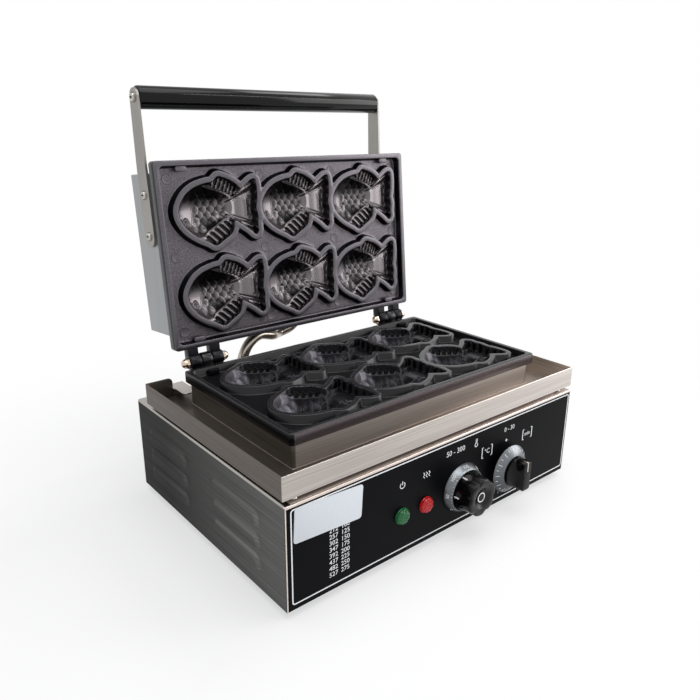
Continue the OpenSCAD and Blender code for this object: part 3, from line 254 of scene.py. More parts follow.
def spline(points, n, closed=False):
    """Smooth curve through the points: the cubic that leaves each point along the line
    between its neighbours."""
    p = np.asarray(points, float)
    if closed:
        p = np.vstack([p[-1:], p, p[:2]])
    else:
        p = np.vstack([2 * p[0] - p[1], p, 2 * p[-1] - p[-2]])
    t = (np.arange(n) / n)[None, :, None]
    a, b, c, d = (p[k:len(p) - 3 + k, None, :] for k in range(4))
    q = 0.5 * (2 * b + (c - a) * t + (2 * a - 5 * b + 4 * c - d) * t**2
               + (3 * b - a - 3 * c + d) * t**3)
    q = q.reshape(-1, p.shape[1])
    return q if closed else np.vstack([q, p[-2:-1]])


def tube(shape, path, r, n):
    """Round tube along a path: rings in the plane across each step, kept from twisting
    by measuring from one fixed direction."""
    ahead = np.gradient(path, axis=0)
    ahead /= np.linalg.norm(ahead, axis=1, keepdims=True)
    side = np.cross(ahead, [0, 1, 0.03])
    side /= np.linalg.norm(side, axis=1, keepdims=True)
    up = np.cross(side, ahead)
    a = np.linspace(0, 2 * pi, n, endpoint=False)[:, None]
    shape.loft(path[:, None] + r * (np.cos(a) * side[:, None] + np.sin(a) * up[:, None]))


def smooth_step(x, low, high):
    """0 below low, 1 above high, and the cubic that joins them levelly between."""
    t = np.clip((x - low) / (high - low), 0, 1)
    return t * t * (3 - 2 * t)


# ---------------------------------------------------------------- finishes


def linear(*rgb):
    """Display colour 0..1 as linear light."""
    return tuple(c / 12.92 if c <= 0.04045 else ((c + 0.055) / 1.055) ** 2.4 for c in rgb)


def graph(name):
    """A new material, its node tree and its shader."""
    mat = bpy.data.materials.new(name)
    mat.use_nodes = True
    return mat, mat.node_tree, mat.node_tree.nodes["Principled BSDF"]


def feed(tree, node, sockets):
    """Puts each number straight on the node's socket, and links each output given."""
    for socket, value in sockets.items():
        if isinstance(value, bpy.types.NodeSocket):
            tree.links.new(value, node.inputs[socket])
        else:
            node.inputs[socket].default_value = value
    return node


def new_node(tree, kind, sockets=None, **options):
    """A new node with its own options set and its sockets fed."""
    node = tree.nodes.new("ShaderNode" + kind)
    for option, value in options.items():
        setattr(node, option, value)
    return feed(tree, node, sockets or {})


def grain(tree, scale, detail=3.0, size=(1, 1, 1)):
    """Noise read from Object coordinates, stretched by size."""
    place = new_node(tree, "TexCoord").outputs["Object"]
    stretched = new_node(tree, "Mapping", {"Scale": size, "Vector": place}).outputs["Vector"]
    sockets = {"Scale": scale, "Detail": detail, "Vector": stretched}
    return new_node(tree, "TexNoise", sockets).outputs["Fac"]


def ramp(tree, source, low, high, dark, light):
    """Display colour that runs from dark to light while source runs from low to high."""
    mix = new_node(tree, "ValToRGB", {"Fac": source})
    for stop, place, colour in zip(mix.color_ramp.elements, (low, high), (dark, light)):
        stop.position, stop.color = place, (*linear(*colour), 1)
    return mix.outputs["Color"]


def rough_skin(tree, shader, source, strength, depth):
    """Bumps in the shading where source is high; depth is in metres."""
    bump = new_node(tree, "Bump", {"Strength": strength, "Distance": depth, "Height": source})
    feed(tree, shader, {"Normal": bump.outputs["Normal"]})


def run_along(tree, axis, near, far, low, high):
    """A number that runs from low to high between two places (mm) on the X, Y or Z axis."""
    place = new_node(tree, "SeparateXYZ", {0: new_node(tree, "TexCoord").outputs["Object"]})
    return new_node(tree, "MapRange", {
        "From Min": near * MM, "From Max": far * MM, "To Min": low, "To Max": high,
        "Value": place.outputs[axis]}).outputs[0]


def brushed_steel(name, dark, light, roughness, size, metallic=1.0, fade=None, edge=1.0):
    """Metal with streaks of two tones, long along the small numbers of size. fade is
    (axis, near, far, share): between two places the colour sinks to a share of itself, a
    painted gradient of light and shade. edge is how bright the metal gets where it is seen
    at a flat angle."""
    mat, tree, shader = graph(name)
    streaks = grain(tree, 1.0, 4.0, size)
    colour = ramp(tree, streaks, 0.3, 0.72, dark, light)
    # painted light and shade: the colour scaled down along one axis
    if fade:
        *reach, share = fade
        sink = {0: colour, "Scale": run_along(tree, *reach, 1, share)}
        colour = new_node(tree, "VectorMath", sink, operation="SCALE").outputs[0]
    feed(tree, shader, {"Base Color": colour, "Metallic": metallic, "Roughness": roughness,
                        "Specular Tint": (edge, edge, edge, 1)})
    rough_skin(tree, shader, streaks, 0.12, 0.0002)
    return mat


def plain(name, colour, roughness, metallic=0.0, specular=0.5, pitch=700.0, skin=0.03, spread=0.06):
    """One colour with a faint mottle, a fine skin, and a gloss that varies with them."""
    mat, tree, shader = graph(name)
    mottle = grain(tree, pitch)
    dark, light = ([min(c * k, 1) for c in colour] for k in (1 - spread, 1 + spread))
    gloss = new_node(tree, "MapRange", {
        "To Min": roughness * 0.8, "To Max": roughness * 1.2, "Value": mottle})
    feed(tree, shader, {"Base Color": ramp(tree, mottle, 0.3, 0.7, dark, light),
                        "Roughness": gloss.outputs[0], "Metallic": metallic,
                        "Specular IOR Level": specular})
    rough_skin(tree, shader, mottle, skin, 0.0001)
    return mat


def speckle(tree):
    """Fine even grain of a sprayed coat."""
    return grain(tree, 900.0, 2.0)


def cast_coating(name, dark, light, roughness, skin, metallic=0.85, specular=0.5):
    """Non-stick coat on a casting: a dark sheen with a fine orange-peel skin."""
    mat, tree, shader = graph(name)
    peel = speckle(tree)
    feed(tree, shader, {"Base Color": ramp(tree, peel, 0.35, 0.65, dark, light),
                        "Metallic": metallic, "Roughness": roughness,
                        "Specular IOR Level": specular})
    rough_skin(tree, shader, peel, skin, 0.00015)
    return mat


def mould_coating(name, dark, light, roughness):
    """Smooth coat of a mould, its colour taken from the piece's own tone attribute, which holds the moulds'
    painted light and shade.
    """
    mat, tree, shader = graph(name)
    tone = new_node(tree, "Attribute", attribute_name="tone").outputs["Fac"]
    feed(tree, shader, {"Base Color": ramp(tree, tone, 0, 1, dark, light),
                        "Metallic": 0.85, "Roughness": roughness})
    rough_skin(tree, shader, speckle(tree), 0.03, 0.00015)
    return mat


def glass(name, dark, light, roughness):
    """Tinted lens plastic speckled between two colours, with a faint painted glow of its light colour."""
    mat, tree, shader = graph(name)
    feed(tree, shader, {
        "Base Color": ramp(tree, speckle(tree), 0.3, 0.7, dark, light),
        "Roughness": roughness, "Transmission Weight": 0.2, "Specular IOR Level": 0.35,
        "Emission Color": (*linear(*light), 1), "Emission Strength": 0.12})
    return mat


EVEN_STREAKS = (9, 9, 700)
# casing sides: a darker, shaded copy of the casing steel whose colour sinks further towards the back,
# painted shade; the deck's lighter copy is painted light
shaded_casing_side_steel = brushed_steel("casing steel", (0.35, 0.35, 0.347), (0.46, 0.46, 0.455), 0.34,
                           (500, 6, 700), fade=("Y", -125, 60, 0.36), edge=0.5)
panel_steel = brushed_steel("panel steel", (0.27, 0.27, 0.267), (0.38, 0.38, 0.375), 0.34,
                            (6, 500, 700))
lit_casing_steel = brushed_steel("deck steel", (0.6, 0.58, 0.56), (0.7, 0.68, 0.66), 0.3, (300, 9, 9))
# bright copies of the casing steel for its folded edges: painted highlights
fold_highlight_steel = brushed_steel("front fold steel", (0.8, 0.72, 0.67), (0.88, 0.8, 0.75), 0.35,
                           (9, 500, 9), 0.35)
# tray steel: the colour sinks towards the left, painted shade that leaves the right end lighter; the front
# wall's copy sinks less
tray_steel_shaded_left = brushed_steel("tray steel", (0.74, 0.69, 0.65), (0.85, 0.8, 0.76), 0.3,
                           EVEN_STREAKS, 0.75, ("X", 170, -60, 0.24), 0.55)
tray_front_steel_shaded_left = brushed_steel("tray front steel", (0.78, 0.745, 0.72), (0.88, 0.85, 0.825),
                                 0.34, EVEN_STREAKS, fade=("X", 190, -110, 0.74))
# riser steel in a darker, shaded copy for its sides and a lighter, lit copy for its front: painted light and
# shade
shaded_riser_side_steel = brushed_steel("riser steel", (0.4, 0.37, 0.33), (0.48, 0.45, 0.41), 0.32,
                           EVEN_STREAKS, 0.45)
lit_riser_front_steel = brushed_steel("riser front steel", (0.64, 0.6, 0.57), (0.74, 0.7, 0.67),
                                  0.4, EVEN_STREAKS, 0.45, ("X", 120, -10, 0.92))
lid_steel = brushed_steel("lid steel", (0.555, 0.565, 0.575), (0.6, 0.607, 0.615), 0.34,
                          (9, 300, 9))
arm_steel = brushed_steel("arm steel", (0.53, 0.52, 0.505), (0.59, 0.58, 0.565), 0.36,
                          (500, 9, 9))
screw_steel = plain("screw steel", (0.72, 0.7, 0.67), 0.22, 1)
# near-black for the insides of screw recesses: painted shade
recess_painted_shade = plain("screw recess", (0.08, 0.075, 0.07), 0.5, 0.5)
# near-white steel for cut edges and beads: a painted highlight
edge_highlight_steel = plain("cut edge steel", (0.88, 0.83, 0.8), 0.3, 1)
conduit_steel = plain("conduit steel", (0.68, 0.65, 0.61), 0.24, 1, pitch=90, skin=0.005,
                      spread=0.04)
dome_brass = plain("dome nut plating", (0.82, 0.75, 0.68), 0.14, 1)
brass = plain("brass", (0.78, 0.62, 0.36), 0.3, 1)
copper = plain("copper", (0.8, 0.5, 0.36), 0.3, 1)
galvanised = brushed_steel("galvanised steel", (0.5, 0.51, 0.52), (0.62, 0.63, 0.64), 0.45,
                           (60, 60, 60))
heater_steel = plain("heater tube", (0.3, 0.31, 0.33), 0.4, 1)
dark_coat = (0.11, 0.12, 0.13), (0.17, 0.18, 0.19), 0.34, 0.2
# upper plate: its wall coat is a much darker copy of the pan coat, painted shade on steep walls and hinge
# knuckles; the mould coat takes painted light and shade from the tone
upper_coats = [
    cast_coating("upper pan coat", (0.31, 0.295, 0.315), (0.43, 0.41, 0.43), 0.38, 0.3),
    cast_coating("upper land coat", (0.345, 0.335, 0.355), (0.41, 0.395, 0.415), 0.3, 0.12),
    cast_coating("upper wall coat", (0.09, 0.09, 0.1), (0.15, 0.145, 0.16), 0.3, 0.2),
    mould_coating("upper mould coat", (0.05, 0.05, 0.055), (0.43, 0.41, 0.42), 0.26),
    cast_coating("upper side coat", *dark_coat),
    cast_coating("upper front coat", *dark_coat),
]
# lower plate: the same coat as the upper plate in much darker copies, painted shade and dark reflection; its
# front coat is a lighter copy of its side coat, painted light on the rim's front
shaded_lower_coats = [
    cast_coating("lower pan coat", (0.02, 0.02, 0.028), (0.05, 0.05, 0.06), 0.5, 0.3, 0, 0.1),
    cast_coating("lower land coat", (0.07, 0.07, 0.08), (0.12, 0.12, 0.13), 0.24, 0.1, 0, 0.4),
    cast_coating("lower wall coat", (0.02, 0.022, 0.035), (0.06, 0.062, 0.08), 0.26, 0.15, 0.3),
    mould_coating("lower mould coat", (0.02, 0.02, 0.03), (0.33, 0.32, 0.345), 0.33),
    cast_coating("lower side coat", (0.09, 0.09, 0.095), (0.14, 0.135, 0.145), 0.34, 0.2),
    cast_coating("lower front coat", (0.34, 0.31, 0.32), (0.43, 0.39, 0.4), 0.34, 0.25, 0.6),
]
black_enamel = plain("printed black", (0.012, 0.014, 0.026), 0.4, specular=0.06)
white_ink = plain("white ink", (0.95, 0.95, 0.97), 0.5)
label_film = plain("label film", (0.86, 0.88, 0.905), 0.35, spread=0.012)
black_plastic = plain("black plastic", (0.022, 0.022, 0.025), 0.14, specular=0.18, skin=0.012)
knob_face = plain("knob face", (0.05, 0.05, 0.055), 0.3, specular=0.3, skin=0.02)
grip_black = plain("grip black", (0.02, 0.02, 0.024), 0.13, specular=0.22, skin=0.01)
# dial metal darkens towards the bottom of the dials: painted shade
dial_metal = brushed_steel("dial metal", (0.435, 0.45, 0.465), (0.495, 0.51, 0.525), 0.3,
                           (900, 9, 900), fade=("Z", 66, 28, 0.3))
rubber = plain("rubber", (0.07, 0.07, 0.07), 0.7, skin=0.2)
green_glass = glass("green lens", (0.0, 0.24, 0.11), (0.02, 0.44, 0.21), 0.12)
red_glass = glass("red lens", (0.5, 0.02, 0.03), (0.8, 0.05, 0.07), 0.1)
white_moulding = plain("white moulding", (0.85, 0.84, 0.8), 0.5)
ceramic = plain("ceramic", (0.87, 0.85, 0.78), 0.45, skin=0.1)
wool = plain("ceramic wool", (0.9, 0.89, 0.84), 0.95, pitch=900, skin=0.6)
gland_black = plain("gland plastic", (0.09, 0.09, 0.095), 0.45, skin=0.1)

# the nodes that keep their CAD shape
for finish, nodes in (
        (panel_steel, "front_panel"),
        (black_enamel, "panel_overlay"),
        (galvanised, "bottom_cover tray_spacers lower_clamp_plate upper_clamp_plate"),
        (screw_steel, "foot_screws casing_screws tray_screws lid_cover_screws lid_shell_screws "
                      "hinge_bolts conduit_gland_base conduit_gland_lid thermostat_shaft "
                      "timer_shaft lower_tie_studs lower_tie_nuts upper_studs upper_nuts"),
        (heater_steel, "lower_heater upper_heater"),
        (wool, "lower_insulation upper_insulation"),
        (ceramic, "thermostat_body terminal_block"),
        (copper, "thermostat_bulb"),
        (white_moulding, "timer_body lamp_bodies"),
        (brass, "shaft_nuts earth_stud"),
        (gland_black, "lamp_nuts cord_gland_nut")):
    for name in nodes.split():
        node = frame["nodes"][name]
        if not node.material_slots:
            node.data.materials.append(finish)
        for holder in node.material_slots:
            holder.material = finish


# ---------------------------------------------------------------- the fish mould

# the mould's outline, from the snout over the back to the tail and along the belly
FISH_EDGE = spline([
    (-46, 0), (-44, 8), (-37, 17.5), (-27, 24), (-15, 27.5), (-6.5, 28.8), (0, 33.5), (6, 32.5),
    (14, 29.5), (21, 25), (25.8, 20.8), (32, 24.6), (39, 29), (44.3, 28.4), (45.6, 20), (44.8, 8),
    (43.2, 0), (44.6, -9), (43.6, -17), (44, -24), (39.8, -27.6), (31, -20.6), (22, -14.6),
    (16, -12), (14.6, -18), (11, -24.5), (2, -30), (-8, -34.8), (-16, -30.6), (-27, -25),
    (-37, -17.6), (-43.8, -8.5)], 12, closed=True)[::-1]
FISH_X = [0.85 + 95.6 * i for i in (-1, 0, 1)]
FISH_Y = [-42.5, 41.3]
PLATE_W, PLATE_D = 322, 186
PLATE_HALF = np.array([PLATE_W, PLATE_D]) / 2


def edge_distance(p):
    """Distance of flat points from the fish's edge, negative inside: the nearest of the
    edge's short straight steps, with the sign from a count of crossings."""
    a, b = FISH_EDGE, np.roll(FISH_EDGE, -1, 0)
    step = b - a
    t = np.clip(((p[:, None] - a) * step).sum(-1) / (step**2).sum(-1), 0, 1)
    away = np.hypot(*np.moveaxis(p[:, None] - a - t[..., None] * step, -1, 0)).min(1)
    above = (a[:, 1] > p[:, 1:2]) != (b[:, 1] > p[:, 1:2])
    slant = np.where(step[:, 1] == 0, 1e-9, step[:, 1])
    cross = p[:, :1] < a[:, 0] + (p[:, 1:2] - a[:, 1]) * step[:, 0] / slant
    inside = (above & cross).sum(1) % 2 == 1
    return np.where(inside, -away, away)


BACK_RIBS, BELLY_RIBS = (0.9, -0.44, 1.2, 4.6), (0.68, 0.733, 1.2, 6.2)
SIDE_RIBS = (0.8, 0.6, 0, 2.9)


def wave(u, v, ribs):
    """Cosine across a fin's ribs, which are given as (slope along u, slope along v,
    start, pitch)."""
    return np.cos(2 * pi * (ribs[0] * u + ribs[1] * v + ribs[2]) / ribs[3])


def mound(u, v, place, size, power=1.0):
    """Bell about a place, of a half-width each way; more power gives it a flatter top."""
    return np.exp(-(((u - place[0]) / size[0]) ** 2 + ((v - place[1]) / size[1]) ** 2) ** power)


def near_line(u, v, a, b, width):
    """Bell across the line a-b, fading at its ends."""
    d = np.array(b, float) - a
    length = np.hypot(*d)
    d /= length
    ahead = (u - a[0]) * d[0] + (v - a[1]) * d[1]
    off = -(u - a[0]) * d[1] + (v - a[1]) * d[0]
    return (np.exp(-(off / width) ** 2) * smooth_step(ahead, -2, 2)
            * smooth_step(length - ahead, -2, 2))


BACK_LINE = np.array([(-46, 0), (-44, 8), (-37, 17.5), (-27, 24), (-15, 26), (-6, 22.5), (0, 20.6),
                      (6, 18.6), (13.5, 15.5), (20, 12), (30, 10), (50, 9)]).T
BELLY_LINE = np.array([(-46, -1), (-43.8, -8.5), (-37, -17.6), (-27, -25), (-18, -25.6),
                       (-8, -19.8), (1, -14), (8, -11), (14, -9), (20, -8), (30, -8), (50, -8)]).T


def across_body(u, v):
    """0 on the body's middle line, 1 on its back line and belly line."""
    top, low = np.interp(u, *BACK_LINE), np.interp(u, *BELLY_LINE)
    return np.clip(np.abs(v - (top + low) / 2) / np.maximum((top - low) / 2, 0.5), 0, 1)


def scales(u, v):
    """Overlapping round scales: each is a tilted disc on a staggered lattice, and the
    highest disc at a point is the one seen."""
    best, radius, pitch_u, pitch_v = np.zeros_like(u), 6.1, 8.4, 5.6
    for row in range(-3, 4):
        for col in range(-2, 4):
            du = u - (-13 + col * pitch_u + (row % 2) * pitch_u / 2)
            r = np.hypot(du, (v - (1.5 + row * pitch_v)) * 0.95)
            disc = np.where(r < radius, 0.9 + du / radius, 0) * smooth_step(radius - r, 0, 2.6)
            best = np.maximum(best, disc)
    return best


def flank_share(u, v):
    """1 on the flank behind the gill, fading to the head, the tail, the back and belly."""
    return (smooth_step(u, -25, -20) * smooth_step(-u, -15, -9)
            * smooth_step(1 - across_body(u, v), 0.02, 0.25))


def fins(u, v):
    """Where the back fin and the belly fin are, and the height of their ribs, all 0..1:
    the back fin's ribs are broad with a groove along the crown, the belly fin's narrow."""
    above, below = v - np.interp(u, *BACK_LINE), np.interp(u, *BELLY_LINE) - v
    back = smooth_step(above, -0.6, 0.8) * smooth_step(u, -7.5, -5.5) * smooth_step(-u, -24, -21.5)
    belly = smooth_step(below, -0.4, 1) * smooth_step(u, -20, -17.5) * smooth_step(-u, -15.5, -13.5)
    ribs = wave(u, v, BACK_RIBS)
    crown = smooth_step(ribs, -0.75, 0.55) - 0.3 * smooth_step(ribs, 0.6, 1.0)
    return back, crown, belly, smooth_step(wave(u, v, BELLY_RIBS), -0.45, 0.6)


def eye_rings(u, v):
    """Pupil and two brow rings: a cosine over the distance from the eye's middle, which
    counts less upwards, open below."""
    ring = np.hypot((u + 33.5) / 4.9, (v + 13) / (4.9 + 3 * smooth_step(v, -13.5, -11)))
    return (np.cos(2 * pi * ring / 0.37) * smooth_step(1.12 - ring, 0, 0.15)
            * smooth_step(v + 17, 0, 2.5))


def tail_lobes(v):
    """Waves of the tail's end wall, -1..1."""
    return np.cos(2 * pi * (v - 2) / 9.5)


def mould_relief(u, v, s):
    """Height of one mould below the rim by place (u, v) and distance s in from its edge.
    The body is a deep bowl between its back and belly lines, the fins and the tail are
    shallow shelves; a steep wall runs down from the edge to whichever is there. Scales,
    eye, gill, fin ribs and tail rays are added to it."""
    lengthways = np.clip((-u - 14) / 33, 0, 1) ** 2
    deep = np.interp(u, [-46, -30, -16, -4, 8, 16, 24, 46],
                     [14, 15.6, 16, 15.6, 13, 10.6, 9.4, 7.6])
    bowl = deep * np.sqrt(1 - lengthways * 0.85) * (1 - across_body(u, v) ** 2.3) ** 0.62
    tail = smooth_step(u, 9, 22)
    shelf = 5.6 + 2.4 * tail + 1.2 * smooth_step(u, 26, 44)
    flat = np.where(u > 9, shelf, 5.6 * smooth_step(u, -24, -12))
    floor = np.maximum(bowl * (1 - 0.45 * tail), flat)
    scallop = (0.8 * smooth_step(u, -7, -5) * smooth_step(-u, -24, -21) * (v > 15)
               * wave(u, v, BACK_RIBS))
    scallop += 0.8 * smooth_step(u, 36, 42) * tail_lobes(v)
    scallop += 0.7 * smooth_step(-v, 14, 20) * smooth_step(u, -20, -16) * wave(u, v, BELLY_RIBS)
    foot = np.maximum(s + scallop * smooth_step(s, 0.4, 1.6), 0)
    wall = 0.35 + np.where(u < -16, 1.5, 2.3) * foot + 0.12 * foot**2
    rounding = 1.1  # of the corner where the wall meets the floor
    blend = np.clip(0.5 + 0.5 * (wall - floor) / rounding, 0, 1)
    depth = wall * (1 - blend) + floor * blend - rounding * blend * (1 - blend) * 0.5

    r = 0.8 * flank_share(u, v) * (scales(u, v) - 0.7) + 0.5 * eye_rings(u, v)
    # gill: a step that curves down behind the head
    gill = np.hypot(u + 44, (v + 1) * 0.72)
    r -= (0.9 * smooth_step(gill, 18.4, 19.6) * smooth_step(-gill, -23.5, -20)
          * smooth_step(16 - np.abs(v + 1), 0, 4))
    # mouth line at the snout
    r -= 0.8 * near_line(u, v, (-46, -3.5), (-39.5, -5.5), 0.7)
    # side fin: a hollow with soft ribs
    fin = mound(u, v, (-10, -12.5), (7.5, 5.2), 1.6)
    r -= fin * (1.9 - 0.55 * smooth_step(wave(u, v, SIDE_RIBS), -0.4, 0.8))
    pit, bead = 1.8**0.5, 1.7**0.5
    # a knob at the fin's root, with a pit below it
    r += 0.9 * mound(u, v, (-20.2, -3.8), (2.6, 2.2)) - 1.3 * mound(u, v, (-20, -5.6), (pit, pit))
    back, crown, belly, blade = fins(u, v)
    r += back * (2.3 * crown - 0.9) + belly * (2.0 * blade - 0.8)
    # tail: rays that fan out from its root, a flat middle
    angle = np.degrees(np.arctan2(v - 1.0, u + 4.5))
    reach = smooth_step(u, 8.5, 14)
    for at, wide, high in ((26.5, 2.6, 2.4), (33.5, 1.7, 1.8), (19.5, 1.8, -1.1), (-25, 2.1, 2.2),
                           (-31.5, 1.6, 1.8), (-19.5, 1.6, -1.1), (-36.5, 1.4, -0.9)):
        r += high * reach * np.exp(-((angle - at) / wide) ** 2) * smooth_step(u, 9, 24) ** 0.4
    r += (0.4 * reach * np.exp(-((u - 35.5 + 0.015 * v**2) / 1.8) ** 2)
          * smooth_step(15 - np.abs(angle), 0, 5))
    # beads at the root of the tail
    for bu, bv in ((8.3, 2.2), (9.7, -1.5), (11, -5.6), (11.4, -9.4)):
        r += 1.5 * mound(u, v, (bu, bv), (bead, bead))
    return np.minimum(-depth + r * smooth_step(s, 0.9, 2.6), -0.35 - 0.6 * np.minimum(s, 3))


# (distance in from the plate's edge or out from a mould's, height)
RIM_PROFILE = np.array([(0, -0.5), (0.15, -0.22), (0.5, 0), (4.7, 0), (5.0, -0.1), (5.25, -0.5),
                        (6.5, -7.2), (6.9, -7.75), (7.7, -8.0)]).T
LAND_PROFILE = np.array([(0, -0.35), (0.2, -0.1), (0.55, 0), (4.9, 0), (5.2, -0.1), (5.45, -0.5),
                         (7.1, -7.2), (7.5, -7.75), (8.3, -8.0)]).T
CORNER_R, RIM_R = 3.5, 10.2  # the rim's corners outside and inside


def hexagons(x0, x1, y0, y1, pitch):
    """Points of a triangular lattice over a rectangle."""
    rows = np.arange(y0, y1, pitch * 0.866)
    cols = np.arange(x0, x1, pitch)
    x, y = np.meshgrid(cols, rows)
    x = x + (np.arange(len(rows)) % 2)[:, None] * pitch / 2
    return np.column_stack([x.ravel(), y.ravel()])


def worn(u, v, rise):
    """Painted light and shade of a mould's coat, 0 dark to 1 light: crowns of ribs,
    scales and eye rings get painted highlights, the gaps between them and the upright
    walls behind the gill painted shade."""
    back, crown, belly, blade = fins(u, v)
    share = 1 - 0.8 * back * (1 - np.clip(crown, 0, 1)) - 0.92 * belly * (1 - blade)
    share *= 1 - 0.8 * flank_share(u, v) * (1 - smooth_step(scales(u, v), 0.75, 1.3))
    share *= 0.45 + 0.55 * np.clip(eye_rings(u, v) + 1, 0, 1)
    behind = smooth_step(u, -20, -12)
    return share * (1 - 0.9 * behind * (1 - smooth_step(rise, 0.25, 0.75)))


def upper_tone(u, v, rise):
    """Painted shade on the upper moulds, deepest along the back and under the side fin,
    laid over the relief's painted light and shade.
    """
    back = (smooth_step(v - 0.2 * np.abs(u + 20), 0, 11) * smooth_step(-u, -12, 0)
            * smooth_step(u, -42, -34))
    under = mound(u, v, (-7, -13), (10, 5), 1.5)
    back_fin, _, belly_fin, _ = fins(u, v)
    dark = 1 - 0.9 * back * (1 - back_fin) - 0.75 * under * (1 - belly_fin)
    return np.clip(dark * worn(u, v, rise), 0, 1)


def lower_tone(u, v, rise):
    """Lower moulds kept dark but for a painted reflection in the head's bowl and a painted
    highlight at the tail's root, over the relief's painted light and shade.
    """
    head = smooth_step(-u - 0.35 * v, 19, 23) * smooth_step(u, -46, -40)
    tail = smooth_step(u, 14, 20) * smooth_step(-u, -30, -22) * smooth_step(v, -4, 4)
    return np.clip((0.12 + 0.7 * head + 0.25 * tail) * worn(u, v, rise), 0, 1)


def fineness(u, v):
    """How fine a mould's lattice has to be: 2 at the eye, 1 at fins, flank and tail end."""
    back = (v > np.interp(u, *BACK_LINE) - 2) & (u > -9) & (u < 27)
    belly = (v < np.interp(u, *BELLY_LINE) + 2) & (u > -22) & (u < 18)
    eye = np.hypot((u + 33.4) / 6.4, (v + 10.5) / 9) < 1
    flank = (u > -23) & (u < 14)
    return np.where(eye, 2, (back | belly | flank | (u > 35)).astype(int))


def triangles(points, links):
    """Constrained triangulation of flat points: its points and its triangles."""
    verts, _, faces, *_ = delaunay_2d_cdt(points.tolist(), links.tolist(), [], 0, 1e-5)
    return np.array(verts), np.array(faces)


def face_normals(net, faces):
    """Normals of triangles, each as long as twice its triangle's area."""
    a, b, c = (net[faces[:, k]] for k in range(3))
    return np.cross(b - a, c - a)


def mould_net():
    """Net of one mould about its own middle: its edge, a lattice inside that is finer
    at the fins and the eye, and the relief's height at each point. With it goes how
    level each point is: the upright share of the normals of the faces round it, and 0 on
    the tail's end wall; the painted shade darkens the points that are least level."""
    nets = [hexagons(-47, 47, -36, 35, pitch) for pitch in (0.92, 0.6, 0.43)]
    second_ring = FISH_EDGE - outward(FISH_EDGE) * 0.32
    lattice = np.vstack([second_ring, *(q[fineness(*q.T) == k] for k, q in enumerate(nets))])
    least = np.where(np.arange(len(lattice)) < len(second_ring), 0.28, 0.62)
    net = lattice[edge_distance(lattice) < -least]
    ring = np.arange(len(FISH_EDGE))
    flat, faces = triangles(np.vstack([FISH_EDGE, net]), np.column_stack([ring, np.roll(ring, -1)]))
    faces = faces[edge_distance(flat[faces].mean(1)) < -1e-3]
    inward, (u, v) = np.maximum(-edge_distance(flat), 0), flat.T
    net = np.column_stack([flat, mould_relief(u, v, inward)])
    up = face_normals(net, faces)
    level_share, area = np.zeros(len(net)), np.full(len(net), 1e-9)
    np.add.at(level_share, faces, np.abs(up[:, 2:]))
    np.add.at(area, faces, np.linalg.norm(up, axis=1)[:, None])
    clear = smooth_step(inward - 0.7 * tail_lobes(v), 2.4, 3.4)
    return net, faces, level_share / area * (1 - smooth_step(u, 33, 37) * (1 - clear))


def deck_net():
    """Net of a plate outside its moulds: level rings of the rim and of the lands round
    the moulds, and a coarse lattice on the pan's floor."""
    points, edges, total = [], [], 0

    def ring(p, keep=None):
        """Adds a closed ring; its points that aren't kept leave gaps in it."""
        nonlocal total
        keep = np.ones(len(p), bool) if keep is None else keep
        at = np.cumsum(keep) - 1 + total
        both = keep & np.roll(keep, -1)
        points.append(p[keep])
        edges.append(np.column_stack([at, np.roll(at, -1)])[both])
        total += keep.sum()

    for inset in RIM_PROFILE[0]:
        corner = (CORNER_R if inset < 3 else RIM_R) - inset
        ring(corner_loop(PLATE_W - 2 * inset, PLATE_D - 2 * inset, max(corner, 0.8)))
    out = outward(FISH_EDGE)
    centres = [(x, y) for y in FISH_Y for x in FISH_X]
    for d in LAND_PROFILE[0]:
        loop = FISH_EDGE + out * d
        clear = np.abs(edge_distance(loop) - d) < 0.04
        for x, y in centres:
            placed = loop * [1, -1] + [x, y]
            mine = clear.copy()
            for ox, oy in centres:
                if 0 < abs(ox - x) < 100 and oy == y:
                    mine &= edge_distance((placed - [ox, oy]) * [1, -1]) > d + 0.02
            ring(placed, mine | (d == 0))
    wide, deep = PLATE_HALF - 9
    pan = hexagons(-wide, wide, -deep, deep, 5.5)

    def nearest(p):
        """Distance from the nearest mould's edge, 99 where all are far."""
        away = np.full(len(p), 99.0)
        for x, y in centres:
            at = (np.abs(p[:, 0] - x) < 58) & (np.abs(p[:, 1] - y) < 46)
            away[at] = np.minimum(away[at], edge_distance((p[at] - [x, y]) * [1, -1]))
        return away

    points.append(pan[nearest(pan) > 9.4])
    flat, faces = triangles(np.concatenate(points), np.concatenate(edges))
    faces = faces[nearest(flat[faces].mean(1)) > 1e-3]
    height = np.interp((PLATE_HALF - np.abs(flat)).min(1), *RIM_PROFILE)
    corner = corner_height(flat)
    height = np.where(np.isnan(corner), height, corner)
    height = np.maximum(height, np.interp(np.maximum(nearest(flat), 0), *LAND_PROFILE))
    return np.column_stack([flat, height]), faces


def corner_height(flat):
    """Rim height near the four corners, where the distance from the edge is measured
    to the corner's arc; nan elsewhere."""
    corner = np.full(len(flat), np.nan)
    qx, qy = (np.abs(flat) - (PLATE_HALF - RIM_R)).T
    at = (qx > 0) & (qy > 0)
    inner = RIM_R - np.hypot(qx[at], qy[at])
    ox, oy = qx[at] - (RIM_R - CORNER_R), qy[at] - (RIM_R - CORNER_R)
    outer = CORNER_R - np.hypot(np.maximum(ox, 0), np.maximum(oy, 0))
    outer = np.minimum(outer, CORNER_R - np.maximum(ox, oy))
    corner[at] = np.interp(np.where(inner > 3.2, inner, outer), *RIM_PROFILE)
    return corner


FLOOR, LAND, SHADED_WALL, BOWL, SIDE, FRONT_SIDE = range(6)


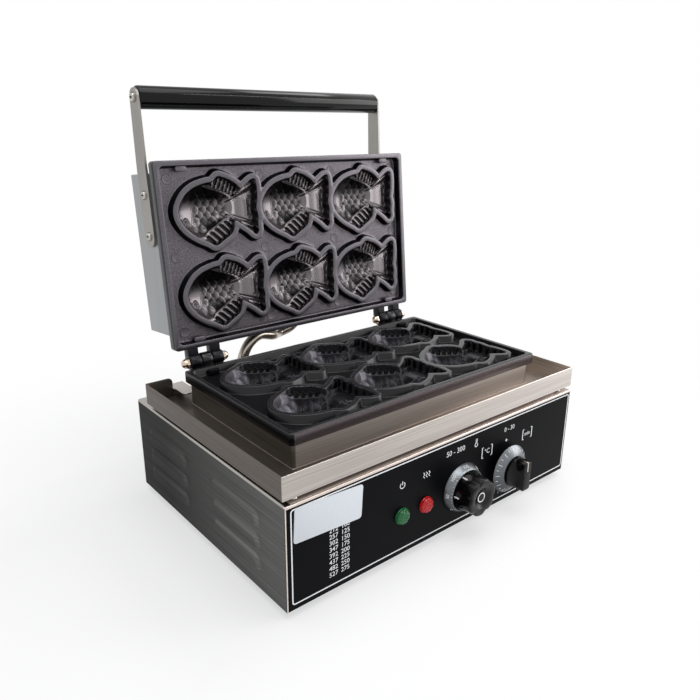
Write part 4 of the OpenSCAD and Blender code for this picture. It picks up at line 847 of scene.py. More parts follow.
def cast_plate(tone):
    """One plate about its own middle, rim top at height 0, moulds opening upwards:
    the nets above, then the rim's side, the flange's underside and the heater block."""
    plate = Shape()
    deck, faces = DECK_NET
    up = face_normals(deck, faces)
    steep = np.abs(up[:, 2]) < 0.75 * np.linalg.norm(up, axis=1)
    high = deck[faces, 2].mean(1) > -0.6
    # steep faces take the wall coat, painted shade; high faces the land coat, the rest the floor coat
    kind = np.where(high, LAND, np.where(steep, SHADED_WALL, FLOOR))
    for finish in (FLOOR, LAND, SHADED_WALL):
        plate.add(deck, faces[kind == finish], finish)
    mould, faces, rise = MOULD_NET
    for y in FISH_Y:
        for x in FISH_X:
            # each mould point's tone: its painted light and shade
            plate.add(mould * [1, -1, 1] + [x, y, 0], faces, BOWL, tone(*mould.T[:2], rise))
    rings = []
    for inset, z in ((0, -0.5), (0, -10.4), (0.5, -11), (17.5, -11), (19, -12), (20, -22),
                     (21, -23)):
        w, d = PLATE_W - 2 * inset, PLATE_D - 2 * (inset * 15 / 19 if inset > 10 else inset)
        rings.append(level(corner_loop(w, d, CORNER_R if inset < 5 else 6), z))
    rings = np.array(rings)
    # the front of the rim's side takes the front coat: on the lower plate a lighter, lit copy of the side
    # coat
    plate.grid(rings[:, 17:19], finish=FRONT_SIDE)
    plate.grid(np.roll(rings, -18, 1), finish=SIDE)
    plate.lid(rings[-1], SIDE)
    # round marks on the pan's floor, and stops inside its front and back rim
    mark = [(-8.4, 0), (-8.4, 5.4), (-7.75, 5.4), (-7.6, 5.1), (-7.75, 4.6), (-7.85, 4.0),
            (-7.85, 0)]
    for x in (-145, -40, 55, 146):
        for y in (-76, 0, 76):
            turned(plate, mark, (x, y, 0), "z", 28)
    for x in (-132, 132):
        for side in (-1, 1):
            y = side * (PLATE_D / 2 - 5.2)
            block(plate, (x - 6, x + 6), sorted((y, y - side * 5.4)), (-8.5, -2), 2.4, 0.6)
    return plate


LUG_X, LUG_PAIR = 129.5, 12.5  # the lower lugs, and how far the upper ones sit from them


def knuckle(shape, x, low, high):
    """Hinge eye at x on the hinge's axis, bored for the bolt, with a web that reaches
    the plate's back edge between two heights."""
    outer, bore, half = 8.0, 3.06, 6.0
    rim = [(half - 1.1, outer), (half - 0.35, outer - 0.4), (half, outer - 1.2), (half, bore)]
    ring = np.array([(-w, r) for w, r in rim[::-1]] + rim + [(-half, bore)])
    a = np.linspace(0, 2 * pi, 40, endpoint=False)
    p = np.stack([x + ring[:, :1] + 0 * a, HINGE_Y + ring[:, 1:] * np.cos(a),
                  HINGE_Z + ring[:, 1:] * np.sin(a)], -1)
    # eye and web in the wall coat, a painted shade
    shape.grid(p, round_v=True, finish=SHADED_WALL)
    block(shape, (x - half + 0.3, x + half - 0.3), (PLATE_MID + 90, HINGE_Y - 2.5), (low, high),
          0.8, 0.8, SHADED_WALL)


MOULD_NET, DECK_NET = mould_net(), deck_net()
lower = Shape()
lower.join(cast_plate(lower_tone), lambda p: p + [0, PLATE_MID, LOWER_RIM])
for side in (-1, 1):
    knuckle(lower, side * LUG_X, LOWER_RIM - 10, LOWER_RIM - 0.5)
piece("lower_fish_plate", lower, shaded_lower_coats, "base", "coated_cast", ["lower_plate"], 80)

upper = Shape()
upper.join(cast_plate(upper_tone), lambda p: opened(p * [1, 1, -1] + [0, PLATE_MID, UPPER_RIM]))
eyes = Shape()
for side in (-1, 1):
    for k in (-1, 1):
        knuckle(eyes, side * LUG_X + k * LUG_PAIR, UPPER_RIM + 0.5, UPPER_RIM + 10)
upper.join(eyes, opened)
piece("upper_fish_plate", upper, upper_coats, "lid", "coated_cast", ["upper_plate"], 80)


# ---------------------------------------------------------------- sheet metal


def eased(node, name, finish, slot, width):
    """The CAD solid with its edges broken: a copy is merged, its flat faces are joined,
    and a bevel of a narrow width rounds each edge sharper than 30 degrees."""
    source = frame["nodes"][node]
    mesh = source.data.copy()
    mesh.name = name
    mesh.materials.clear()
    mesh.materials.append(finish)
    clean(mesh, 1e-6, 50, flat=0.5)
    obj = set_down(name, mesh, body_of(source)[0], slot, [node])
    edge = obj.modifiers.new("broken edges", "BEVEL")
    edge.width, edge.segments = width * MM, 2
    edge.limit_method, edge.angle_limit = "ANGLE", radians(30)


SHEET = 1.2  # the steel's thickness
CASING_X, CASING_BACK, CASING_LOW, DECK_TOP = 190.0, 121.52, 8.0, 106.0
LIPS = [27.6, 48.6, 69.6]
LOUVRE_Y = [-70.18, 56.72]
LOUVRE_L, LOUVRE_H, LOUVRE_OUT, LOUVRE_R = 82.0, 14.0, 2.3, 10


def louvre(y, z, lip):
    """How far one row of louvres stands out: full behind a rounded crest that follows
    the top edge and its two round corners, sinking a little to the open lower lip."""
    out = np.zeros(np.broadcast(y, z).shape)
    for middle in LOUVRE_Y:
        a = np.abs(y - middle) - (LOUVRE_L / 2 - LOUVRE_R)
        b = (z - lip) - (LOUVRE_H - LOUVRE_R)
        reach = LOUVRE_R - np.where((a > 0) & (b > 0), np.hypot(a, b), np.maximum(a, b))
        sink = 0.16 * smooth_step(lip + 9 - z, 0, 9)
        out = np.maximum(out, smooth_step(reach, 0, 5.4) * (1 - sink) * (z >= lip))
    return LOUVRE_OUT * out


def span_steps(low, high, marks, fine, coarse, around):
    """Stations from low to high: fine within around of each mark, coarse between."""
    at = np.arange(low, high, fine)
    close = np.min([np.abs(at - m) for m in marks], 0) < around
    keep = close | (np.arange(len(at)) % max(1, round(coarse / fine)) == 0)
    inside = [m for m in marks if low < m < high]
    return np.unique(np.round(np.append(at[keep], [high, *inside]), 4))


def casing_sheet():
    """One sheet bent over both sides: the section runs up the left, across the deck and
    down the right. Outer skin, inner skin a sheet's thickness in, and the cut edges
    between. Each louvre's lower lip is a slit with an edge of its own."""
    shape, r = Shape(), 2.0
    ends = [m + s * LOUVRE_L / 2 for m in LOUVRE_Y for s in (-1, 1)]
    y = span_steps(FRONT + 0.2, CASING_BACK, ends, 0.9, 5.4, 13)
    heights = [CASING_LOW, *LIPS, DECK_TOP - r]
    for side in (-1, 1):
        for k, (low, high) in enumerate(zip(heights, heights[1:])):
            if k:
                yy, zz = np.meshgrid(y, span_steps(low, high, [low + LOUVRE_H], 0.75, 2.25, 6))
                out = louvre(yy, np.minimum(zz, high - 1e-3), low)
            else:
                yy, zz = np.meshgrid(y, np.linspace(low, high, 5))
                out = 0 * yy
            outer = np.stack([side * (CASING_X + out), yy, zz], -1)
            inner = np.stack([side * (CASING_X - SHEET + out), yy, zz], -1)
            shape.grid(outer)
            shape.grid(inner)
            for j in (0, -1):
                shape.grid(np.stack([outer[:, j], inner[:, j]]))
            if k == 0:
                shape.grid(np.stack([outer[0], inner[0]]))
                continue
            flat = outer[0].copy()
            flat[:, 0] = side * CASING_X
            back = flat - [side * SHEET, 0, 0]
            for middle in LOUVRE_Y:
                use = np.abs(y - middle) <= LOUVRE_L / 2 + 1e-3
                shape.grid(np.stack([outer[0][use], inner[0][use]]))
                shape.grid(np.stack([flat[use], back[use]]))
    a, skins = np.linspace(0, pi / 2, 6), []
    for reach in (r, r - SHEET):
        bend = np.column_stack([r - CASING_X - reach * np.cos(a), DECK_TOP - r + reach * np.sin(a)])
        section = np.vstack([bend, bend[::-1] * [-1, 1]])
        skins.append(np.stack([np.insert(section, 1, at, axis=1) for at in y]))
        shape.grid(skins[-1], finish=1)
    for j in (0, -1):
        shape.grid(np.stack([skin[j] for skin in skins]), finish=1)
    return shape


casing = casing_sheet()
# folded edges round the front panel, bright steel painted as their highlights
for side in (-1, 1):
    block(casing, sorted((side * CASING_X, side * (CASING_X - 1.3))), (FRONT - 0.12, FRONT + 1.4),
          (8.2, 103.5), 0.5, 0.3, 2)
block(casing, (-189.9, 189.9), (FRONT - 0.25, FRONT + 2.4), (102.9, 105.9), 0.5, 0.9, 2)
block(casing, (-184, 184), (FRONT + 1, FRONT + 16), (105.2, 106.15), 0.5, 0.3, 3)
piece("casing_sheet", casing, [shaded_casing_side_steel, lit_casing_steel, edge_highlight_steel, fold_highlight_steel], "base",
      "stainless", ["casing"])

TRAY_X, TRAY_FRONT, TRAY_BACK, TRAY_LOW, TRAY_TOP = 191.0, FRONT + 1.3, 95.82, 110.0, 131.5
tray = Shape()
block(tray, (-TRAY_X, TRAY_X), (TRAY_FRONT, TRAY_FRONT + SHEET), (TRAY_LOW, TRAY_TOP), 0.55, 0.5, 1)
for side in (-1, 1):
    x = sorted((side * TRAY_X, side * (TRAY_X - SHEET)))
    block(tray, x, (TRAY_FRONT + 0.3, TRAY_BACK - 0.1), (TRAY_LOW, TRAY_TOP), 0.55, 0.5)
    # short back wall, its inner top corner round
    inner, outer, low, high, r = TRAY_X - 28.6, TRAY_X - 0.2, TRAY_LOW + 0.2, TRAY_TOP - 0.05, 5.0
    a = np.linspace(0, pi / 2, 7)
    ring = np.vstack([[(inner, low), (outer, low), (outer, high)],
                      np.column_stack([inner + r - r * np.sin(a), high - r + r * np.cos(a)])])
    slab_of(tray, ring, (TRAY_BACK - SHEET, TRAY_BACK), 0.25,
            lambda p, w, s=side: np.insert(p * [s, 1], 1, w, axis=1))
outer_loop = corner_loop(2 * TRAY_X - 0.6, TRAY_BACK - TRAY_FRONT - 0.6, 0.6)
window = corner_loop(296.0, 160.0, 2.0)
# the tray's floor: its two faces between the outline and the window, then its edges
loops = np.array([[level(loop + [0, y], z) for z in (TRAY_LOW, TRAY_LOW + SHEET)] for loop, y in (
    (outer_loop, (TRAY_BACK + TRAY_FRONT) / 2), (window, PLATE_MID))])
for pair in (loops[:, 0], loops[:, 1], loops[0], loops[1]):
    tray.grid(pair, round_v=True)
piece("spill_tray_sheet", tray, [tray_steel_shaded_left, tray_front_steel_shaded_left], "base", "stainless", ["spill_tray"])

RISER_W, RISER_D = 314.0, 178.0


def riser_rings(rows, shrink):
    """Level rings about the riser's middle, one for each row (inset, height); their
    corners' radius shrinks by a share of the inset."""
    return np.array([level(corner_loop(RISER_W - 2 * i, RISER_D - 2 * i, max(3 - shrink * i, 0.8))
                           + [0, PLATE_MID], z) for i, z in rows])


riser = Shape()
skirt = [(0.3, 111.3), (0, 111.7), (0, 133.9), (0.35, 134.5), (0.8, 134.5), (1.2, 134.0),
         (1.2, 112.5), (9.2, 112.4), (9.2, 111.3), (0.3, 111.3)]
rings = riser_rings(skirt, 1)
# front faces in the lit copy of the riser steel, the rest in the shaded one
riser.grid(rings[:, 17:19], finish=1)
riser.grid(np.roll(rings, -18, 1))
# bead at the foot, where the skirt meets the tray, bright as a painted highlight
bead = [(0.1, 111.25), (-0.35, 111.3), (-0.45, 111.7), (-0.3, 112.1), (0.1, 112.2)]
riser.grid(riser_rings(bead, 0), round_v=True, finish=2)
piece("riser_skirt", riser, [shaded_riser_side_steel, lit_riser_front_steel, edge_highlight_steel], "base", "stainless",
      ["riser_frame"])

eased("rear_bracket_left", "rear_bracket_left_strip", tray_front_steel_shaded_left, "stainless", 0.3)
eased("rear_bracket_right", "rear_bracket_right_strip", tray_front_steel_shaded_left, "stainless", 0.3)
eased("back_panel", "back_panel_sheet", lit_casing_steel, "stainless", 0.25)
eased("lid_shell", "lid_shell_sheet", lid_steel, "stainless", 0.45)
eased("lid_cover", "lid_cover_sheet", lid_steel, "stainless", 0.35)
eased("handle_arm_left", "handle_arm_left_bar", arm_steel, "stainless", 0.35)
eased("handle_arm_right", "handle_arm_right_bar", arm_steel, "stainless", 0.35)
eased("feet", "rubber_feet", rubber, "rubber", 0.5)
eased("cord_gland", "cord_gland_body", gland_black, "gland_plastic", 0.4)


# ---------------------------------------------------------------- handle, hinges, conduit

GRIP_Y, GRIP_Z, GRIP_HALF = 147.28, 403.45, 152.3
grip = Shape()
end = [(GRIP_HALF - 1.5, 11), (GRIP_HALF - 0.5, 10.5), (GRIP_HALF, 9.6), (GRIP_HALF, 4)]
turned(grip, [(-x, r) for x, r in end[::-1]] + end, (0, GRIP_Y, GRIP_Z), "x", 64)
piece("handle_grip_tube", grip, grip_black, "lid", "grip_plastic", ["handle_grip"])


def cross_head(shape, side, x, y, z, radius, height, shank, length):
    """Screw through an arm: a shank, and a flanged round head turned about X whose crown
    is sunk along a cross, by a bell over the distance from each of its two bars."""
    turned(shape, [(-side * length, 0), (-side * length, shank), (0, shank)], (x, y, z), "x", 24)
    a = np.linspace(0, 2 * pi, 56, endpoint=False)
    r = np.array([1, 1, 0.97, 0.82, 0.8, 0.78, *(0.08 * k for k in range(9, -1, -1))])[:, None]
    h = np.interp(r, [0, 0.3, 0.5, 0.64, 0.72, 0.78, 0.8], [1, 0.98, 0.93, 0.84, 0.74, 0.58, 0.4])
    h[:4, 0] = 0, 0.24, 0.32, 0.34
    across, up = r * np.cos(a + 0.4), r * np.sin(a + 0.4)
    sunk = np.maximum(*(np.exp(-(p / 0.13) ** 4) * smooth_step(0.56 - np.abs(q), 0, 0.08)
                        for p, q in ((across, up), (up, across))))
    p = np.stack([x + side * height * (h - 0.42 * sunk), y + radius * across, z + radius * up], -1)
    quads = quads_between(len(r), len(a), True)
    # painted shade in the cross, and in the groove between the flange and the head
    dark = (sunk.ravel()[quads].mean(1) > 0.35) | (np.arange(len(quads)) // len(a) == 2)
    shape.add(p, quads[~dark], 0)
    shape.add(p, quads[dark], 1)


ARM_FACE = 155.0
arm_fixings, grip_fixings = Shape(), Shape()
for side in (-1, 1):
    for y, z in ((137.4, 270.28), (141.47, 311.07)):
        cross_head(arm_fixings, side, side * ARM_FACE, y, z, 4.8, 2.4, 2, 9)
    cross_head(grip_fixings, side, side * ARM_FACE, GRIP_Y, GRIP_Z, 5.1, 3.0, 2.5, 14)
for name, shape, node in (("arm_fixing_screws", arm_fixings, "arm_screws"),
                          ("grip_fixing_screws", grip_fixings, "grip_screws")):
    piece(name, shape, [screw_steel, recess_painted_shade], "lid", "plated_fasteners", [node])

NUT_FACE = 18.6  # from a lower lug's middle to the faces its nuts sit on
nuts = Shape()
hexagon = [(0, 4.9), (0.5, 5.6), (2.9, 5.6), (3.4, 5.0)]
dome = [(3.1, 4.9)]
dome += [(3.6 + 4.5 * sin(b), max(4.9 * cos(b), 0)) for b in np.linspace(0, pi / 2, 9)]
for side in (-1, 1):
    for k in (-1, 1):
        for rows, n in ((hexagon, 6), (dome, 28)):
            turned(nuts, [(k * h, r) for h, r in rows],
                   (side * LUG_X + k * NUT_FACE, HINGE_Y, HINGE_Z), "x", n)
piece("hinge_dome_nuts", nuts, dome_brass, "base", "brass", ["hinge_nuts"])

mouth, into_lid = np.array([20, 134.83, 158.98]), np.array([0, 0.0993, 0.99506])
route = [(-70, 109.82, 111.2), (-70, 109.82, 118), (-69, 110.32, 129), (-60, 111.32, 143),
         (-44, 113.82, 150), (-24, 117.82, 145), (-6, 133.83, 140), (11, 133.63, 144),
         mouth - 9 * into_lid - [0.8, 0, 0], mouth - 2 * into_lid, mouth, mouth + 3.8 * into_lid]
conduit = Shape()
tube(conduit, spline(route, 8), r=5.95, n=28)
conduit_tube = piece("conduit_tube", conduit, conduit_steel, "base", "plated_fasteners",
                     ["wiring_conduit"])
conduit_tube.parent = None
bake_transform(conduit_tube, "base", "lid", start=(-0.07, 0.1098, 0.118), end=(0.02, 0.1348, 0.157))


# ---------------------------------------------------------------- controls

CONTROL_Z, THERMOSTAT_X, TIMER_X = 48.5, 15.0, 81.0


def on_panel(x):
    """Moves points (across, up, out) from a control's own middle to the front panel."""
    return lambda p: np.stack([x + p[..., 0], FRONT - p[..., 2], CONTROL_Z + p[..., 1]], -1)


def turned_out(shape, profile, x, n, finish=0, notch=None, ends=True):
    """Profile rows (out, radius, share of the notch) turned about a control's axis;
    notch(a) is how far the side is cut in at angle a."""
    profile = np.asarray(profile, float)
    a = np.linspace(0, 2 * pi, n, endpoint=False)
    r = profile[:, 1:2] - (profile[:, 2:3] * notch(a) if notch else 0 * a)
    p = on_panel(x)(np.stack([r * np.cos(a), r * np.sin(a), profile[:, :1] + 0 * a], -1))
    shape.loft(p, finish, ends=False)
    for k in (0, -1):
        if ends and profile[k, 1] > 1e-6:
            shape.lid(p[k], finish)


def flute(a):
    """Six round hollows, one every 60 degrees."""
    off = (a - radians(50) + pi / 6) % (pi / 3) - pi / 6
    return 2.3 * np.exp(-(off / 0.2) ** 2)


dial = Shape()
turned_out(dial, [(0.02, 12), (0.02, 25.2), (0.5, 25.5), (1.2, 25.4), (8.2, 21.5), (8.5, 21.2),
                  (8.4, 20.7), (3, 20.5), (2.6, 12)], THERMOSTAT_X, 96)
piece("thermostat_dial_ring", dial, dial_metal, "base", "dial_metal", ["thermostat_dial"])

knob = Shape()
# the fluted side, the disc at its back, the fluted face with its hollow, the middle cap
turned_out(knob, [(2.6, 4, 0), (2.6, 18.6, 0), (3.0, 19.4, 0), (4.2, 19.9, 0), (10, 19.8, 0),
                  (11.5, 19.6, 0.25), (14, 19.5, 0.85), (17, 19.3, 1), (25.4, 19.0, 1),
                  (26.4, 18.7, 1), (27.1, 18.0, 0.97)], THERMOSTAT_X, 120, 0, flute, False)
knob.lid(on_panel(THERMOSTAT_X)(level(corner_loop(8, 8, 3.99, 8), 2.6)))
turned_out(knob, [(27.1, 18.0, 0.97), (27.4, 17.3, 0.9), (27.5, 16, 0.7), (27.4, 11.4, 0),
                  (27.0, 10.7, 0), (24.6, 8.4, 0), (23.6, 7.0, 0), (23.5, 5.9, 0), (23.5, 0, 0)],
           THERMOSTAT_X, 120, 1, flute, False)
turned_out(knob, [(23.4, 6.2), (24.9, 6.2), (25.2, 5.8), (25.2, 0)], THERMOSTAT_X, 40)
turned_out(knob, [(25.1, 5.0), (25.35, 5.0), (25.35, 4.0), (25.1, 4.0), (25.1, 5.0)],
           THERMOSTAT_X, 40, 3, ends=False)


def on_knob_side(angle):
    """Moves points (along the axis, round it, out) to the knob's side at an angle."""
    a = radians(angle)
    turn = np.array([[0, 0, 1], [-sin(a), cos(a), 0], [cos(a), sin(a), 0]])
    spot = [19.35 * cos(a), 19.35 * sin(a), 11.5]
    return lambda p: on_panel(THERMOSTAT_X)(p @ turn + spot)


# two white marks on the knob's side: painted highlights where the flutes' ends catch the light
for angle in (118, 178):
    block(knob, (-2.8, 2.8), (-0.7, 0.7), (-0.4, 0.6), 0.65, 0.15, 3, on_knob_side(angle))
piece("thermostat_knob_cap", knob, [black_plastic, knob_face, screw_steel, white_ink],
      "thermostat_control", "knob_plastic", ["thermostat_knob"])

timer_dial = Shape()
turned_out(timer_dial, [(6.6, 5.1), (6.6, 23.8), (6.5, 25.2), (6.9, 25.5), (7.3, 25.2),
                        (13.3, 17.0), (13.4, 16.5), (13.4, 5.1)], TIMER_X, 96)
piece("timer_dial_cone", timer_dial, dial_metal, "timer_control", "dial_metal", ["timer_dial"])


def grip_bar():
    """Round foot that draws in to an upright bar: each level is the circle and the
    bar's rounded oblong mixed by its share."""
    a = np.linspace(0, 2 * pi, 96, endpoint=False)
    round_dir = np.column_stack([np.cos(a), np.sin(a)])
    stretch = (np.abs(round_dir / [6.2, 16.0]) ** 7).sum(1) ** (-1 / 7)
    circle, oblong = round_dir * 16.3, round_dir * stretch[:, None]
    rings = []
    for h, share, inset in (
            (13.6, 0, 0.4), (13.8, 0, 0), (16.0, 0, 0.1), (16.8, 0, 0.7), (17.4, 0.25, 0.8),
            (18.3, 0.6, 0.6), (19.8, 0.88, 0.4), (21.5, 1, 0.2), (27.6, 1, 0.5), (28.4, 1, 0.9),
            (28.9, 1, 1.6), (29.0, 1, 2.6)):
        ring = circle * (1 - share) + oblong * share
        ring = ring * (1 - inset / np.hypot(*ring.T))[:, None]
        rings.append(level(ring, h))
    return on_panel(TIMER_X)(np.array(rings))


timer = Shape()
timer.loft(grip_bar())
for up, out in (((5.5, 15.2), (28.6, 29.08)), ((14.6, 15.95), (22.5, 28.6))):
    block(timer, (-0.9, 0.9), up, out, 0.4, 0.1, 1, on_panel(TIMER_X))
piece("timer_knob_bar", timer, [black_plastic, screw_steel], "timer_control", "knob_plastic",
      ["timer_knob"])


def lamp(name, x, finish, slot, node):
    """Jewelled lens: a low collar, then a dome cut in rings and spokes."""
    shape = Shape()
    turned_out(shape, [(0.02, 8.0), (1.0, 8.1), (1.5, 7.9), (1.6, 7.4)], x, 48)
    a = np.linspace(0, 2 * pi, 72, endpoint=False)
    r = np.linspace(7.5, 0, 26)[:, None]  # from the dome's foot to its top
    spokes = 0.7 * np.abs(np.sin(4 * a)) * (r / 7.5) * smooth_step(r, 2.2, 3.2)
    facets = (spokes + 0.45 * np.abs(np.cos(r * 0.84))) * smooth_step(7.5 - r, 0, 1)
    h = 1.5 + 3.2 * np.sqrt(1 - (r / 7.9) ** 2) + facets
    p = on_panel(x)(np.stack([r * np.cos(a), r * np.sin(a), h], -1))
    shape.grid(p, round_v=True)
    shape.lid(p[0])
    piece(name, shape, finish, "base", slot, [node], crease=20)


GREEN_X, RED_X = -65.0, -34.5
lamp("green_jewel", GREEN_X, green_glass, "green_lens", "green_lamp_lens")
lamp("red_jewel", RED_X, red_glass, "red_lens", "red_lamp_lens")


# ---------------------------------------------------------------- prints


def lettering(text, height):
    """Flat letters as points (x, y, depth) about their own middle, and their faces."""
    curve = bpy.data.curves.new("letters", "FONT")
    curve.body, curve.size, curve.offset = text, height * 1.37, height * 0.004
    curve.extrude, curve.resolution_u, curve.align_x, curve.align_y = 0.02, 3, "CENTER", "CENTER"
    holder = bpy.data.objects.new("letters", curve)
    mesh = bpy.data.meshes.new_from_object(holder)
    points = np.empty(len(mesh.vertices) * 3)
    mesh.vertices.foreach_get("co", points)
    faces = [list(f.vertices) for f in mesh.polygons]
    bpy.data.objects.remove(holder)
    bpy.data.meshes.remove(mesh)
    return points.reshape(-1, 3), faces


class Print(Shape):
    """Ink on the front panel: points (across, up, out) with the panel's own height."""

    def letters(self, text, x, z, height, place=None):
        """Text about (x, z), or where the function place puts its points."""
        p, faces = lettering(text, height)
        if place:
            points = place(p)
        else:
            points = np.column_stack([x + p[:, 0], FRONT - 0.035 - p[:, 2], z + p[:, 1]])
        for size in sorted({len(f) for f in faces}):
            self.add(points, [f for f in faces if len(f) == size])

    def stroke(self, line, width, closed=False):
        """Flat band of one width along a line of (x, z) points."""
        p = np.asarray(line, float)
        step = (np.roll(p, -1, 0) - np.roll(p, 1, 0)) if closed else np.gradient(p, axis=0)
        step /= np.linalg.norm(step, axis=1, keepdims=True)
        side = np.column_stack([-step[:, 1], step[:, 0]]) * width / 2
        near, far = FRONT + 0.02, FRONT - 0.06
        strip = np.stack([np.insert(p + k * side, 1, y, axis=1) for k, y in (
            (1, near), (1, far), (-1, far), (-1, near), (1, near))])
        self.grid(strip, round_v=closed)
        if not closed:
            for k in (0, -1):
                self.lid(strip[:4, k])


def arc(x, z, r, a0, a1, n=24):
    """Points of a circle about (x, z), from a0 to a1 degrees."""
    a = np.radians(np.linspace(a0, a1, n))
    return np.column_stack([x + r * np.cos(a), z + r * np.sin(a)])


ink = Print()
ink.stroke(corner_loop(371.5, 87.5, 2.5) + [1.25, 57.25], 1.2, closed=True)
# two columns of numbers: each row's degrees and their conversion
for k in range(8):
    celsius, z = 100 + 25 * k, 66.6 - k * 6.15
    ink.letters(str(celsius * 9 // 5 + 32), -142.6, z, 4.6)
    ink.letters(str(celsius), -130, z, 4.6)
# lamp signs: a switch ring and rising heat
ink.stroke(arc(GREEN_X, 79.4, 2.9, 125, 415), 0.8)
ink.stroke([(GREEN_X, 79.6), (GREEN_X, 83.4)], 0.8)
for k in (-1, 0, 1):
    t = np.linspace(-3, 3, 16)
    ink.stroke(np.column_stack([RED_X + k * 3.4 + 0.8 * np.sin(t * 1.6), 79.6 + t]), 0.75)
ink.letters("50 - 300", 4, 90.4, 5.6)
ink.stroke(arc(33.5, 88.0, 2.0, 60, 390), 0.9)
ink.stroke([(32.8, 90.0), (32.8, 94.4)], 0.8)
ink.stroke([(34.4, 89.8), (34.4, 94.4)], 0.8)
for x, sign, height in ((51, "°C", 5.4), (116, "min", 4.6)):
    ink.letters(sign, x, 75.4, height)
    for s in (-1, 1):
        bracket = [(5.6, 81), (7.6, 81), (7.6, 69.6), (5.6, 69.6)]
        ink.stroke([(x + s * across, z) for across, z in bracket], 1.15)
ink.letters("0 - 30", 84.5, 90.4, 5.0)
ink.stroke(arc(TIMER_X, 78.2, 1.1, 0, 270, 4), 1.3, closed=True)
for k in range(3, 12):
    a = radians(60 + k * 300 / 18)
    middle, d = np.array([TIMER_X, CONTROL_Z]), np.array([sin(a), cos(a)])
    if k % 3 == 0:
        ink.letters(str(30 - k // 3 * 5), *(middle + d * 30.6), 3.0)
    else:
        ink.stroke([middle + d * 28.6, middle + d * 30.1], 0.5)
piece("panel_ink", ink, white_ink, "base", "label", crease=60)


def on_cone(x, middle, r0, r1, h0, h1):
    """Wraps flat points (along the ring, down the slope, out of it) round a cone about
    a control's axis, centred at the angle middle, measured clockwise from the top."""
    length = np.hypot(r0 - r1, h1 - h0)

    def place(p):
        share = np.clip(0.5 - p[:, 1] / length, 0, 1)
        r, h = r0 + (r1 - r0) * share, h0 + (h1 - h0) * share
        lift = 0.05 + p[:, 2]
        r, h = r + lift * (h1 - h0) / length, h + lift * (r0 - r1) / length
        a = radians(middle) + p[:, 0] / ((r0 + r1) / 2)
        return on_panel(x)(np.column_stack([r * np.sin(a), r * np.cos(a), h]))

    return place


def cone_dot(shape, place, s, t, w, h):
    """Small raised mark at (s, t) on a cone, w wide and h long."""
    ring = corner_loop(w, h, min(w, h) * 0.45, 2) + [s, t]
    shape.loft(np.array([place(level(ring, z)) for z in (-0.03, 0.05)]))


scale = Print()
cone = (25.4, 21.5, 1.2, 8.2)
for k in range(31):
    angle = -135 + k * 9
    place = on_cone(THERMOSTAT_X, angle, *cone)
    size = 0.95 if k % 5 == 0 else 0.6
    cone_dot(scale, place, 0, -3.1, size, size)
    if k % 5 == 0:
        scale.letters(str(k // 5 * 50), 0, 0, 3.2, lambda p, place=place: place(p + [0, 0.5, 0]))
piece("thermostat_scale", scale, white_ink, "base", "label", crease=60)

ticks = Print()
cone = (25.2, 17.0, 7.3, 13.3)
for k in range(24):
    place = on_cone(TIMER_X, k * 15, *cone)
    long = k % 2 == 0
    cone_dot(ticks, place, 0, 1.2 if long else 2.2, 0.5, 4.6 if long else 2.6)
piece("timer_ticks", ticks, white_ink, "timer_control", "label", crease=60)

sticker, tilt = Shape(), radians(-3)
turn = np.array([[cos(tilt), sin(tilt)], [-sin(tilt), cos(tilt)]])
sticker.loft([np.insert(corner_loop(70, 32, 3) * share @ turn + [-147, 84], 1, FRONT - out, axis=1)
              for share, out in ((1, 0.0), (1, 0.22), (0.996, 0.3))])
piece("plain_sticker", sticker, label_film, "base", "label", ["blank_label"])


# ---------------------------------------------------------------- camera, light, floor


def photo_camera():
    """Camera at the photograph's place: yaw, pitch and roll of the view, 35 mm lens."""
    yaw, pitch, roll = -0.7077, 0.3267, 0.0120
    cy, sy, cp, sp, cr, sr = cos(yaw), sin(yaw), cos(pitch), sin(pitch), cos(roll), sin(roll)
    turn = (np.array([[cr, -sr, 0], [sr, cr, 0], [0, 0, 1]])
            @ np.array([[1, 0, 0], [0, cp, -sp], [0, sp, cp]])
            @ np.array([[1, 0, 0], [0, 0, -1], [0, 1, 0]])
            @ np.array([[cy, sy, 0], [-sy, cy, 0], [0, 0, 1]]))
    data = bpy.data.cameras.new("photo_camera")
    data.lens, data.sensor_width = 35.0, 36.0
    data.shift_x, data.shift_y = -0.01386, -0.00294
    data.clip_start, data.clip_end = 0.02, 40
    cam = bpy.data.objects.new("photo_camera", data)
    bpy.context.scene.collection.objects.link(cam)
    full = np.eye(4)
    full[:3, :3] = np.stack([turn[0], -turn[1], -turn[2]], 1)
    full[:3, 3] = (-0.44047, -0.52671, 0.38750)
    cam.matrix_world = Matrix(full.tolist())
    bpy.context.scene.camera = cam


def soft_lamp(name, place, target, size, power, colour=(1, 1, 1), height=None):
    """Area lamp at a place, turned to its target; a square unless a height is given."""
    data = bpy.data.lights.new(name, "AREA")
    data.shape, data.size, data.energy, data.color = "RECTANGLE", size, power, colour
    data.size_y = height or size
    lamp = bpy.data.objects.new(name, data)
    bpy.context.scene.collection.objects.link(lamp)
    lamp.location = place
    lamp.rotation_euler = (Vector(target) - Vector(place)).to_track_quat("-Z", "Y").to_euler()


def seen_light(tree):
    """1 for rays from the camera, from gloss and through glass, else 0."""
    path = new_node(tree, "LightPath")
    seen = path.outputs["Is Camera Ray"]
    for kind in ("Is Glossy Ray", "Is Transmission Ray"):
        pair = {0: seen, 1: path.outputs[kind]}
        seen = new_node(tree, "Math", pair, operation="MAXIMUM").outputs[0]
    return seen


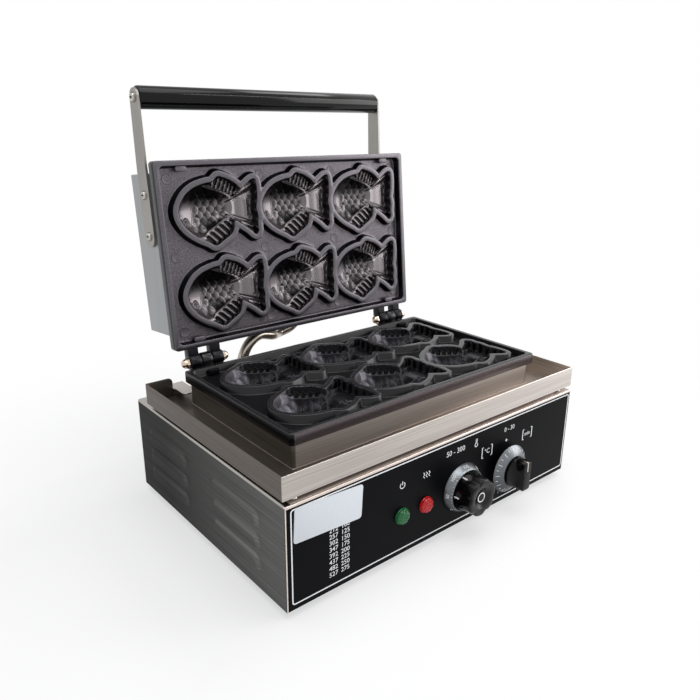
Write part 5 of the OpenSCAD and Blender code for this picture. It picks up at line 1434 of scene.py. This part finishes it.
def backdrop():
    """World that is plain white to the eye and lights the object with less than that."""
    scene = bpy.context.scene
    scene.view_settings.view_transform = "Standard"
    scene.world = bpy.data.worlds.new("studio")
    scene.world.use_nodes = True
    tree = scene.world.node_tree
    tree.nodes.clear()
    fill, white = (new_node(tree, "Background", {"Color": colour, "Strength": strength}).outputs[0]
                   for colour, strength in (((0.95, 0.97, 1, 1), 0.42), ((1, 1, 1, 1), 1)))
    mix = new_node(tree, "MixShader", {"Fac": seen_light(tree), 1: fill, 2: white})
    new_node(tree, "OutputWorld", {"Surface": mix.outputs[0]})


def white_floor():
    """Matt floor that glows white to the eye, more so further from the object."""
    mesh, reach = bpy.data.meshes.new("floor"), 14
    corners = [(-reach, -reach, 0), (reach, -reach, 0), (reach, reach, 0), (-reach, reach, 0)]
    mesh.from_pydata(corners, [], [(0, 1, 2, 3)])
    mat, tree, shader = graph("floor white")
    feed(tree, shader, {"Base Color": (0.94, 0.94, 0.94, 1), "Roughness": 0.9,
                        "Specular IOR Level": 0})
    where = new_node(tree, "TexCoord").outputs["Object"]
    far = new_node(tree, "VectorMath", {0: where}, operation="LENGTH").outputs["Value"]
    span = {"From Min": 0.2, "From Max": 0.62, "To Min": 0.55, "Value": far}
    fade = new_node(tree, "MapRange", span, interpolation_type="SMOOTHSTEP").outputs[0]
    share = new_node(tree, "Math", {0: fade, 1: seen_light(tree)}, operation="MULTIPLY").outputs[0]
    glow = new_node(tree, "Emission", {"Strength": 1}).outputs[0]
    mix = new_node(tree, "MixShader", {"Fac": share, 1: shader.outputs[0], 2: glow})
    feed(tree, tree.nodes["Material Output"], {"Surface": mix.outputs[0]})
    mesh.materials.append(mat)
    floor = bpy.data.objects.new("floor", mesh)
    bpy.context.scene.collection.objects.link(floor)


photo_camera()
backdrop()
soft_lamp("window", (1.75, -1.0, 0.75), (0, 0, 0.2), 1.3, 17, (1, 0.985, 0.965))
soft_lamp("top", (-0.2, -0.3, 2.1), (0, 0, 0.1), 1.5, 19)
soft_lamp("strip", (1.15, 0.3, 1.9), (0.1, 0.1, 0.35), 0.75, 8)
soft_lamp("tube", (0.9, -0.85, 1.31), (0.9, 0.13, 0.41), 1.6, 4, height=0.06)
white_floor()
